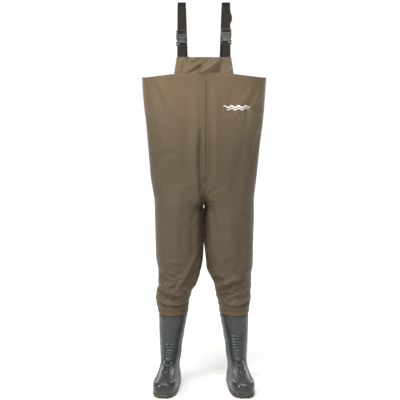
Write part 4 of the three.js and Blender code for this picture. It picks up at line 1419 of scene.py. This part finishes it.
@dataclass
class Boot:
    """One moulded boot: its upper, outsole and insole."""

    hand: Hand
    ribs: int
    rib_pitch: float
    spread: float = 0.137
    base: float = 0.0163
    top: float = 0.292
    wall: float = 0.004
    plate_low: float = 0.006
    plate_high: float = 0.016
    cleat: float = 0.017
    cleat_gap: float = 0.008
    heel_block: float = 0.078
    columns: int = 160

    def section(self, size: dict[str, float], inset: float = 0.0) -> Grid:
        """A closed outline in the boot's own frame, evenly spaced from the front centre.

        Args:
            size: x, side, front, back, power, blunt (the power in front) and egg.
            inset: how far the outline is drawn in.

        Returns:
            The points, columns by 2, with +x outwards from the other boot.
        """
        angle = np.linspace(-math.pi / 2, 1.5 * math.pi, self.columns * 6 + 1)
        across, along = np.cos(angle), np.sin(angle)
        power = np.where(along < 0, size["blunt"], size["power"])
        across = np.sign(across) * np.abs(across) ** (2 / power)
        along = np.sign(along) * np.abs(along) ** (2 / power)
        x = size["x"] + (size["side"] - inset) * (1 - size["egg"] * along) * across
        y = along * np.where(along < 0, size["front"] - inset, size["back"] - inset)
        steps = np.concatenate([[0], np.cumsum(np.hypot(np.diff(x), np.diff(y)))])
        even = np.linspace(0, steps[-1], self.columns + 1)[:-1]
        return np.stack([np.interp(even, steps, x), np.interp(even, steps, y)], axis=1)

    def placed(self, outline: Grid, z: float) -> Grid:
        """Moves an outline from the boot's own frame to its place at a level."""
        x, y = outline[:, 0], outline[:, 1]
        cosine, sine = math.cos(TOE_OUT), math.sin(TOE_OUT)
        return np.stack([self.hand.value * (self.spread + x * cosine - y * sine), x * sine + y * cosine,
                         np.full(len(x), z)], axis=1)

    def upper_size(self, z: float) -> dict[str, float]:
        """The upper's section at a level."""
        return {key: float(profile.at(z)) for key, profile in LAST.items()}

    def relief(self, outlines: Grid, levels: np.ndarray) -> tuple[Grid, Grid, Grid]:
        """The moulded relief of the upper.

        Args:
            outlines: rows by columns by 2, in the boot's own frame.
            levels: the rows' heights.

        Returns:
            How far each point stands out, how worn it is and how polished it is, from 0 to 1.
        """
        z = levels[:, None] * np.ones(self.columns)
        y = outlines[..., 1]
        around = np.linalg.norm(np.roll(outlines, -1, axis=1) - outlines, axis=2)
        turn = np.concatenate([np.zeros((len(levels), 1)), np.cumsum(around, axis=1)[:, :-1]], axis=1)
        whole = around.sum(axis=1)[:, None]
        off_front = np.minimum(turn, whole - turn)
        off_back = 1 - off_front / (whole / 2)
        collar = 0.0013 * bead(z - 0.2865, 0.0040) + 0.0009 * bead(z - 0.2785, 0.0032)
        pad = smooth((0.022 - off_front) / 0.009) * smooth((z - 0.083) / 0.006) * smooth((0.119 - z) / 0.016)
        pad = pad * (1 - 0.30 * bead(off_front, 0.005)) * (1 - 0.35 * bead(z - 0.101, 0.0025))
        ribs = sum(bead(z - 0.127 - k * self.rib_pitch, 0.46 * self.rib_pitch) for k in range(self.ribs))
        ribs = ribs * smooth((0.030 - off_front) / 0.006)
        cap = smooth((-y - 0.138) / 0.006) * smooth((0.062 - z) / 0.004) * smooth((z - 0.0255) / 0.0025)
        cap = cap * (1 - 0.6 * bead(z - 0.038, 0.003))
        foxing = smooth((0.0262 - z) / 0.0018)
        counter = smooth((COUNTER.at(z) - off_back) / 0.06)
        strap_line = bead(z - 0.2650, 0.0016) * smooth((off_front - 0.03) / 0.01)
        height = (collar + 0.0068 * pad + 0.0030 * ribs + 0.0028 * cap + 0.0013 * foxing + 0.0017 * counter
                  + 0.0004 * strap_line)
        vamp = smooth((0.110 - z) / 0.04) * smooth((z - 0.040) / 0.02) * (1 - pad)
        low_side = smooth((0.15 - z) / 0.09) * smooth((off_front - 0.035) / 0.05)
        worn = np.clip(0.75 * counter + 0.5 * low_side + 0.22 * vamp + 0.7 * foxing, 0, 1) * (1 - 0.7 * cap)
        return height, worn, np.clip(pad + cap + 0.7 * ribs, 0, 1)

    def upper(self, material: bpy.types.Material) -> None:
        """The upper: outside, rim and inside as one closed shell."""
        fine = np.linspace(self.base, self.top, 1500)
        toe = LAST["front"].at(fine)
        cost = np.concatenate([[0], np.cumsum(np.diff(fine) + 0.45 * np.abs(np.diff(toe)))])
        levels = np.interp(np.linspace(0, cost[-1], 190), cost, fine)
        outlines = np.stack([self.section(self.upper_size(float(z))) for z in levels])
        height, worn, polished = self.relief(outlines, levels)
        outside = np.stack([self.placed(line, float(z)) for line, z in zip(outlines, levels)])
        along = np.gradient(outside, axis=0)
        across = np.roll(outside, -1, axis=1) - np.roll(outside, 1, axis=1)
        normal = np.cross(along, across) * -self.hand.value
        normal /= np.maximum(np.linalg.norm(normal, axis=2, keepdims=True), 1e-12)
        outside = outside + normal * height[..., None]
        rim = [self.placed(self.section(self.upper_size(self.top), inset), self.top + rise)
               for inset, rise in ((0.0006, 0.0005), (0.0018, 0.0008), (0.0030, 0.0005))]
        floor = self.base + self.wall
        inside_levels = np.concatenate([np.linspace(self.top, 0.13, 26), np.linspace(0.126, floor, 34)])
        inside = [self.placed(self.section(self.upper_size(float(z)), self.wall), float(z))
                  for z in inside_levels]
        grid = np.concatenate([outside, np.stack(rim), np.stack(inside)])
        made = grid_mesh(f"boot_{self.hand.word}", grid, closed=True, caps=True)
        for label, known, inside_value in (("worn", worn, 0.3), ("polished", polished, 0.0)):
            layer = made.data.attributes.new(label, "FLOAT", "POINT")
            values = np.concatenate([known, np.full((len(grid) - len(known), self.columns), inside_value)])
            layer.data.foreach_set("value", values.astype(np.float32).ravel())
        outward(made)
        for polygon in made.data.polygons:
            polygon.use_smooth = len(polygon.vertices) == 4
        dress(made, material, "suit")
        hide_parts(f"boot_upper_{self.hand.word}")

    def sole(self, material: bpy.types.Material, cleats: CleatTree) -> None:
        """The outsole: a rimmed plate, a heel block and the cleats."""
        profile = ((self.plate_low, 0.0022), (self.plate_low + 0.0006, 0.0008),
                   (self.plate_low + 0.002, 0.0002), (0.0098, 0.0), (0.0106, 0.0009),
                   (0.0114, 0.0009), (0.0122, 0.0), (0.0150, 0.0003),
                   (self.plate_high, 0.0014))
        rows = [self.placed(self.section(SOLE, inset), z) for z, inset in profile]
        plate = grid_mesh("plate", np.stack(rows), closed=True, caps=True)
        heel_front = SOLE["back"] - self.heel_block
        block = []
        for z, inset in ((0.0, 0.0028), (0.0008, 0.0018), (self.plate_low + 0.0004, 0.0012)):
            outline = self.section(SOLE, inset)
            start = heel_front + inset - 0.0012
            half = abs(outline[int(np.argmin(np.abs(outline[:, 1] - start))), 0])
            ahead = outline[:, 1] < start
            outline[ahead, 0] = np.clip(outline[ahead, 0], -half, half)
            outline[:, 1] = np.maximum(outline[:, 1], start)
            block.append(self.placed(outline, z))
        heel = grid_mesh("heel", np.stack(block), closed=True, caps=True)
        outline = self.section(SOLE)
        centres, sizes = [], []
        pitch = self.cleat + self.cleat_gap
        front = heel_front - self.cleat_gap
        while front > -SOLE["front"] + 0.006:
            rear, fore = front, max(front - self.cleat, -SOLE["front"] + 0.003)
            edge = outline[: self.columns // 2][::-1]
            half = min(np.interp(-y, -edge[:, 1], edge[:, 0]) for y in (rear, fore)) - 0.0015
            if half > 0.008:
                middle = self.placed(np.array([[0.0, (rear + fore) / 2]]), self.plate_low / 2 + 0.0002)
                centres.append(middle[0])
                sizes.append((2 * half, rear - fore, self.plate_low))
            front -= pitch
        bars = cleats.lay("cleats", np.array(centres), np.array(sizes), self.hand.value * TOE_OUT)
        outward(plate)
        outward(heel)
        made = joined(f"sole_{self.hand.word}", [plate, heel, bars])
        made.data.set_sharp_from_angle(angle=0.7)
        dress(made, material, "suit")
        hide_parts(f"outsole_{self.hand.word}")

    def insole(self, material: bpy.types.Material) -> None:
        """The felt footbed, a flat slab with softened edges."""
        low, high = self.base + self.wall + 0.0003, self.base + self.wall + 0.0043
        size = self.upper_size(self.base)
        profile = ((low, 0.0022), (low + 0.0008, 0.0015), (high - 0.0008, 0.0015), (high, 0.0024))
        rows = [self.placed(self.section(size, self.wall + inset), z) for z, inset in profile]
        made = grid_mesh(f"footbed_{self.hand.word}", np.stack(rows), closed=True, caps=True)
        outward(made)
        made.data.set_sharp_from_angle(angle=0.8)
        dress(made, material, "suit")
        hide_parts(f"insole_{self.hand.word}")


# ------------------------------------------------------------------ the straps
Path = list[tuple[float, float]]


def arc(y: float, z: float, radius: float, start: float, end: float, steps: int) -> Path:
    """Points of an arc in the YZ plane, by degrees from +Y towards +Z."""
    return [(y + radius * math.cos(math.radians(a)), z + radius * math.sin(math.radians(a)))
            for a in np.linspace(start, end, steps + 1)]


def spaced(path: Path, step: float) -> np.ndarray:
    """A path's points, evenly spaced, through a smooth curve."""
    points = np.array(path)
    before = np.vstack([2 * points[0] - points[1], points, 2 * points[-1] - points[-2]])
    fine = []
    for i in range(1, len(before) - 2):
        a, b, c, d = before[i - 1 : i + 3]
        chord = max(float(np.linalg.norm(c - b)), 1e-6)
        m0 = (c - a) / max(float(np.linalg.norm(c - a)), 1e-9) * chord
        m1 = (d - b) / max(float(np.linalg.norm(d - b)), 1e-9) * chord
        for t in np.linspace(0, 1, 12, endpoint=False):
            fine.append((2 * t**3 - 3 * t**2 + 1) * b + (t**3 - 2 * t**2 + t) * m0
                        + (-2 * t**3 + 3 * t**2) * c + (t**3 - t**2) * m1)
    fine = np.array([*fine, points[-1]])
    steps = np.concatenate([[0], np.cumsum(np.linalg.norm(np.diff(fine, axis=0), axis=1))])
    even = np.linspace(0, steps[-1], max(3, round(steps[-1] / step)))
    return np.stack([np.interp(even, steps, fine[:, 0]), np.interp(even, steps, fine[:, 1])], axis=1)


@dataclass
class Strap:
    """One shoulder strap, from the tab behind the bib over the shoulder to the back panel."""

    hand: Hand
    rise: float
    width: float = 0.032
    webbing: float = 0.0016
    elastic: float = 0.0022
    gap: float = 0.0003
    spread: float = STRAP_SPREAD
    lean: float = math.radians(20)
    bib_top: float = 1.332
    top_edge: float = 1.25
    shoulder_top: float = 1.545
    radius: float = 0.060
    tilt: float = math.radians(1.6)
    tab_sewn: float = 0.052
    tail_length: float = 0.076
    tail_bow: float = 0.0
    back_sewn: float = 0.046
    buckle_length: float = 0.0603
    bar_radius: float = 0.002
    ladder_radius: float = 0.0016
    ladder_z: float = 0.0518
    ladder_y: float = -0.0012
    main_layer: float = 0.0015

    def __post_init__(self) -> None:
        """Works out the strap's plane and the shoulder's arc."""
        behind_wall = 0.002 + 2 * self.gap + 1.5 * self.webbing
        self.tab_plane = self.wall_at(self.spread + self.width / 2, -1) + behind_wall
        middle = self.shoulder_top - self.radius
        across = (self.radius + (middle - self.bib_top) * math.sin(self.lean)) / math.cos(self.lean)
        self.run_top = across * math.sin(self.lean) + (middle - self.bib_top) * math.cos(self.lean)
        self.centre = self.leaning(self.main_layer + self.radius, self.run_top)
        self.tail_layer = self.main_layer - self.webbing - self.gap

    @staticmethod
    def wall_at(x: float, sign: int) -> float:
        """The trunk's wall at its top edge, at a place across."""
        power = 2.8
        return sign * BIB_DEPTH * (1 - (abs(x) / TRUNK_HALF) ** power) ** (1 / power)

    def leaning(self, y: float, z: float) -> tuple[float, float]:
        """A point of the strap's leaning frame, as (y, z) in the suit's frame."""
        cosine, sine = math.cos(self.lean), math.sin(self.lean)
        return (self.tab_plane + y * cosine + z * sine, self.bib_top - y * sine + z * cosine)

    def tab_path(self) -> Path:
        """Down behind the bib, round the housing's bar, and down again."""
        bar = self.rise + self.bar_radius
        turn = self.bar_radius + self.gap + self.webbing / 2
        nose = [self.leaning(y, z) for y, z in arc(0, bar, turn, 0, 180, 10)]
        apart = (self.webbing + self.gap) / 2
        back, front = self.tab_plane + apart, self.tab_plane - apart
        foot = self.bib_top - self.tab_sewn
        return [(back, foot), (back, self.bib_top - 0.002), self.leaning(apart, 0.010),
                self.leaning(apart + 0.0004, bar - 0.012), *nose, self.leaning(-apart - 0.0004, bar - 0.012),
                self.leaning(-apart, 0.010), (front, self.bib_top - 0.002), (front, foot + 0.008)]

    def tail_path(self) -> Path:
        """Round the inner ladder bar, behind the outer one, and up to the free end."""
        turn = self.ladder_radius + 1.5 * self.gap + self.webbing / 2
        top = self.rise + self.buckle_length
        loop = arc(self.ladder_y, self.rise + self.ladder_z, turn, 0, -250, 14)
        out = self.tail_layer
        upwards = [(out, top - 0.003), (out, top + 0.012), (out - 0.0012, top + 0.035),
                   (out - 0.0006, top + 0.058), (out - 0.0028, top + self.tail_length)]
        return [self.leaning(y, z) for y, z in [*loop, *upwards]]

    def run_path(self) -> Path:
        """From the plug straight up to the shoulder."""
        low = self.rise + self.ladder_z + 2 * self.gap
        return [self.leaning(self.main_layer, z) for z in np.linspace(low, self.run_top - self.gap, 8)]

    def shoulder_path(self) -> Path:
        """Over the shoulder's arc."""
        return arc(*self.centre, self.radius, 180 - math.degrees(self.lean), 5, 24)

    def back_path(self) -> Path:
        """From the overlap behind the shoulder down to the back panel."""
        radius = self.radius + self.webbing / 2 + 2 * self.gap + self.elastic / 2
        wall = self.wall_at(self.spread, 1) + self.gap + self.elastic / 2 + 0.0035
        foot = (wall, self.top_edge + 0.006)
        dy, dz = foot[0] - self.centre[0], foot[1] - self.centre[1]
        leave = math.degrees(math.atan2(dz, dy) + math.acos(radius / math.hypot(dy, dz)))
        start = arc(*self.centre, radius, leave + 26, leave, 10)
        y, z = start[-1]
        straight = [(y + (foot[0] - y) * t, z + (foot[1] - z) * t) for t in (0.25, 0.5, 0.75)]
        return [*start, *straight, foot, (wall, self.top_edge - self.back_sewn)]

    def band(self, name: str, path: Path, thickness: float, material: bpy.types.Material,
             tilted: bool = False, curl: float = 0.0, bow: float = 0.0) -> tuple[bpy.types.Object, Grid]:
        """A flat band along a path.

        Args:
            name: the piece's name.
            path: its middle line as (y, z).
            thickness: of the band.
            material: its finish.
            tilted: whether the band leans inwards below the shoulder.
            curl: how far the edges stand back from the middle.
            bow: how far the band's free end stands out sideways.

        Returns:
            The band and its middle surface.
        """
        line = spaced(path, 0.0025)
        tangent = np.gradient(line, axis=0)
        tangent /= np.linalg.norm(tangent, axis=1, keepdims=True)
        side = np.stack([-tangent[:, 1], tangent[:, 0]], axis=1)
        across = np.linspace(-1, 1, 15)
        along = np.linspace(0, 1, len(line))
        aside = smooth((along - 0.40) / 0.20) * (1 - 0.8 * smooth((along - 0.74) / 0.2))
        grid = np.zeros((len(line), len(across), 3))
        for i, u in enumerate(across):
            offset = side * curl * (u * u - 0.4)
            grid[:, i, 0] = u * self.width / 2 + bow * aside
            grid[:, i, 1:] = line + offset
        if tilted:
            turn = self.hand.value * self.tilt
            x, z = grid[..., 0].copy(), grid[..., 2] - self.shoulder_top
            grid[..., 0] = x * math.cos(turn) + z * math.sin(turn)
            grid[..., 2] = self.shoulder_top - x * math.sin(turn) + z * math.cos(turn)
        grid[..., 0] += self.hand.value * self.spread
        made = grid_mesh(name, grid)
        made = solidified(made, thickness, offset=0.0)
        outward(made)
        soften(made, 0.00035)
        made = applied(made)
        made.data.set_sharp_from_angle(angle=0.9)
        made.data.materials.clear()
        made.data.materials.append(material)
        return made, grid

    def sewn_box(self, grid: Grid, low: int, high: int, lift: Sequence[float]) -> list[Grid]:
        """The lines of a box-and-cross on a band, between two of its rows."""
        corners = [(2, low), (12, low), (12, high), (2, high), (2, low), (12, high), (2, high), (12, low)]
        lines = []
        for (a, row_a), (b, row_b) in zip(corners, corners[1:]):
            t = np.linspace(0, 1, 24)
            rows, columns = row_a + (row_b - row_a) * t, a + (b - a) * t
            lines.append(np.stack([sample(grid, r, c) for r, c in zip(rows, columns)]) + np.array(lift))
        return lines

    def build(self, webbing: bpy.types.Material, elastic: bpy.types.Material, plastic: bpy.types.Material,
              stitches: StitchTree) -> None:
        """Makes the strap's bands, stitches and buckle.

        Args:
            webbing: the woven webbing's finish.
            elastic: the elastic's finish.
            plastic: the buckle's finish.
            stitches: the stitch tree.
        """
        word = self.hand.word
        tab, _ = self.band(f"tab_{word}", self.tab_path(), self.webbing, webbing)
        dress(tab, webbing, "suit")
        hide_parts(f"strap_tab_{word}")
        tail, _ = self.band(f"tail_{word}", self.tail_path(), self.webbing, webbing,
                            curl=0.0006, bow=self.tail_bow)
        dress(tail, webbing, f"plug_{word}")
        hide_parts(f"webbing_tail_{word}")
        run, _ = self.band(f"run_{word}", self.run_path(), self.webbing, webbing)
        top, foot = self.run_path()[-1], self.run_path()[0]
        top[0] + SHIFT
        foot[0] + SHIFT
        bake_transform(run)
        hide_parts(f"webbing_run_{word}")
        log.info("made %s: %d faces, bending", run.name, len(run.data.polygons))
        over, _ = self.band(f"shoulder_{word}", self.shoulder_path(), self.webbing, webbing)
        dress(over, webbing, "suit")
        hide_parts(f"webbing_shoulder_{word}")
        back, grid = self.band(f"elastic_{word}", self.back_path(), self.elastic, elastic, tilted=True)
        dress(back, elastic, "suit")
        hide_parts(f"back_strap_{word}")
        out = self.elastic / 2 + 0.0001
        lines = self.sewn_box(grid, len(grid) - 17, len(grid) - 3, (0, out, 0))
        lines += self.sewn_box(grid, 2, 9, (0, out * 0.5, out * 0.87))
        made = stitches.sew(f"strap_stitches_{word}", lines, 0.0034, 0.0026, 0.0004)
        dress(made, bpy.data.materials["thread"], "suit")
        for node, body in (("buckle_housing", "suit"), ("buckle_plug", f"plug_{word}"),
                           ("latch_outer", f"latch_outer_{word}"), ("latch_inner", f"latch_inner_{word}")):
            moulded(f"{node}_{word}", body, plastic)


def sample(grid: Grid, row: float, column: float) -> np.ndarray:
    """A point between a grid's points."""
    r, c = min(int(row), len(grid) - 2), min(int(column), grid.shape[1] - 2)
    s, t = row - r, column - c
    low = grid[r, c] * (1 - t) + grid[r, c + 1] * t
    return low * (1 - s) + (grid[r + 1, c] * (1 - t) + grid[r + 1, c + 1] * t) * s


def moulded(node: str, body: str, material: bpy.types.Material) -> None:
    """A moulded copy of a CAD node, merged, with soft edges.

    Args:
        node: the CAD node's name.
        body: the body that it rides on.
        material: its finish.
    """
    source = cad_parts[node]
    form = bmesh.new()
    form.from_mesh(source.data)
    form.transform(source.matrix_world)
    bmesh.ops.remove_doubles(form, verts=form.verts, dist=1e-5)
    bmesh.ops.dissolve_limit(form, angle_limit=0.02, verts=form.verts, edges=form.edges)
    mesh = bpy.data.meshes.new(f"moulded_{node}")
    form.to_mesh(mesh)
    form.free()
    made = bpy.data.objects.new(f"moulded_{node}", mesh)
    bpy.context.scene.collection.objects.link(made)
    soften(made, 0.0006, 0.5)
    made = applied(made)
    for polygon in made.data.polygons:
        polygon.use_smooth = True
    made.data.set_sharp_from_angle(angle=0.75)
    dress(made, material, body)
    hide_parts(node)


# ------------------------------------------------------------------ the studio
@dataclass
class Studio:
    """A white sweep, soft lamps and the camera."""

    camera_height: float = 1.35
    camera_distance: float = 4.5
    camera_side: float = -0.015
    pitch: float = math.radians(7.48)
    lens: float = 101.25
    reach: float = 12.0
    ambient: float = 0.6

    def lamp(self, name: str, place: Sequence[float], target: Sequence[float], size: float, power: float,
             colour: Colour = (1, 1, 1)) -> None:
        """A square area lamp that faces a point."""
        data = bpy.data.lights.new(name, "AREA")
        data.energy, data.size, data.color = power, size, colour
        lamp = bpy.data.objects.new(name, data)
        lamp.location = place
        lamp.rotation_euler = (Vector(target) - Vector(place)).to_track_quat("-Z", "Y").to_euler()
        lamp.visible_camera = False
        bpy.context.scene.collection.objects.link(lamp)

    def sheet_of(self, name: str, profile: Sequence[tuple[float, float]],
                 material: bpy.types.Material) -> bpy.types.Object:
        """A round surface of the studio, turned from a profile of (radius, height)."""
        sides = 96
        points, faces = [], []
        for radius, height in profile:
            turns = [2 * math.pi * k / sides for k in range(sides)]
            points += [(radius * math.cos(turn), radius * math.sin(turn), height) for turn in turns]
        for row in range(len(profile) - 1):
            faces += [(row * sides + k, row * sides + (k + 1) % sides, (row + 1) * sides + (k + 1) % sides,
                       (row + 1) * sides + k) for k in range(sides)]
        mesh = bpy.data.meshes.new(name)
        mesh.from_pydata(points, [], faces)
        mesh.materials.append(material)
        made = bpy.data.objects.new(name, mesh)
        bpy.context.scene.collection.objects.link(made)
        return made

    def build(self) -> None:
        """Makes the floor, the world, the lamps and the camera."""
        m = NodeMaker("paper")
        fibre = m.noise(3.0, 3.0, 0.5)
        tone = m.mix(fibre, (0.90, 0.895, 0.885, 1), (0.93, 0.925, 0.915, 1))
        x, y = m.axis("X"), m.axis("Y")
        far = (x * x + y * y).power(0.5).ramp(1.2, 5.0, 0.0, 0.5)
        glow = m.mix(far, (0, 0, 0, 1), (1, 1, 1, 1))
        paper = m.surface({"Base Color": tone, "Roughness": 0.9, "Specular IOR Level": 0.1,
                           "Emission Color": glow, "Emission Strength": 1.0})
        self.sheet_of("floor", [(self.reach, 0.0), (0.0, 0.0)], paper)
        m = NodeMaker("backdrop")
        white = m.surface({"Base Color": (0, 0, 0, 1), "Roughness": 1.0, "Emission Color": (1, 1, 1, 1),
                           "Emission Strength": 1.0})
        wall = self.sheet_of("backdrop", [(self.reach, -0.1), (self.reach, 14.0), (0.0, 15.0)], white)
        wall.visible_diffuse = wall.visible_glossy = wall.visible_shadow = False
        world = bpy.data.worlds.new("white")
        world.use_nodes = True
        world.node_tree.nodes["Background"].inputs[0].default_value = (1, 1, 1, 1)
        world.node_tree.nodes["Background"].inputs[1].default_value = self.ambient
        bpy.context.scene.world = world
        self.lamp("key", (-2.3, -2.3, 1.9), (0, 0, 1.0), 1.2, 75, (1, 0.97, 0.93))
        self.lamp("overhead", (-0.3, -1.6, 3.6), (0, 0, 0.8), 1.8, 82)
        self.lamp("glint", (0.7, -2.4, 2.4), (0, 0, 0.2), 0.30, 13)
        self.lamp("fill", (2.6, -2.4, 1.5), (0, 0, 0.8), 1.6, 14, (0.95, 0.97, 1))
        self.lamp("rim_left", (-1.8, 2.6, 1.8), (0, 0, 1.0), 1.4, 30)
        self.lamp("rim_right", (1.8, 2.6, 1.8), (0, 0, 1.0), 1.4, 30)
        data = bpy.data.cameras.new("camera")
        data.lens = self.lens
        camera = bpy.data.objects.new("camera", data)
        camera.location = (self.camera_side, -self.camera_distance + SHIFT, self.camera_height)
        camera.rotation_euler = (math.pi / 2 - self.pitch, 0, 0)
        bpy.context.scene.collection.objects.link(camera)
        bpy.context.scene.camera = camera
        bpy.context.scene.view_settings.view_transform = "Standard"


def main() -> None:
    """Builds every piece in order."""
    logging.basicConfig(level=logging.INFO, format="%(name)s: %(message)s", stream=sys.stdout)
    nylon, ink, tape = Nylon().build(), Ink().build(), SeamTape().build()
    thread = Thread().build()
    stitches = StitchTree(thread)
    Suit().build(nylon, ink, tape, stitches)
    upper, tread, felt = Moulded().build(), Tread().build(), Felt().build()
    cleats = CleatTree(tread)
    for boot in (Boot(Hand.LEFT, ribs=8, rib_pitch=0.0120), Boot(Hand.RIGHT, ribs=5, rib_pitch=0.0124)):
        boot.upper(upper)
        boot.sole(tread, cleats)
        boot.insole(felt)
    webbing = Webbing().build()
    elastic = Webbing("elastic", (0.017, 0.015, 0.012), 0.0021, 0.0014).build()
    # the wearer's left buckle gets a rougher, lighter brown-grey copy of the buckle plastic; its lighter
    # colour is painted light on that buckle's face
    glossy, lit_buckle_plastic = Acetal().build(), Acetal("buckle_rubbed", (0.042, 0.036, 0.031), 0.42).build()
    left, right = Strap(Hand.LEFT, rise=0.054, tail_bow=0.0065), Strap(Hand.RIGHT, rise=0.046)
    for strap, plastic in ((left, lit_buckle_plastic), (right, glossy)):
        strap.build(webbing, elastic, plastic, stitches)
    Studio().build()


if __name__ == "__main__":
    main()
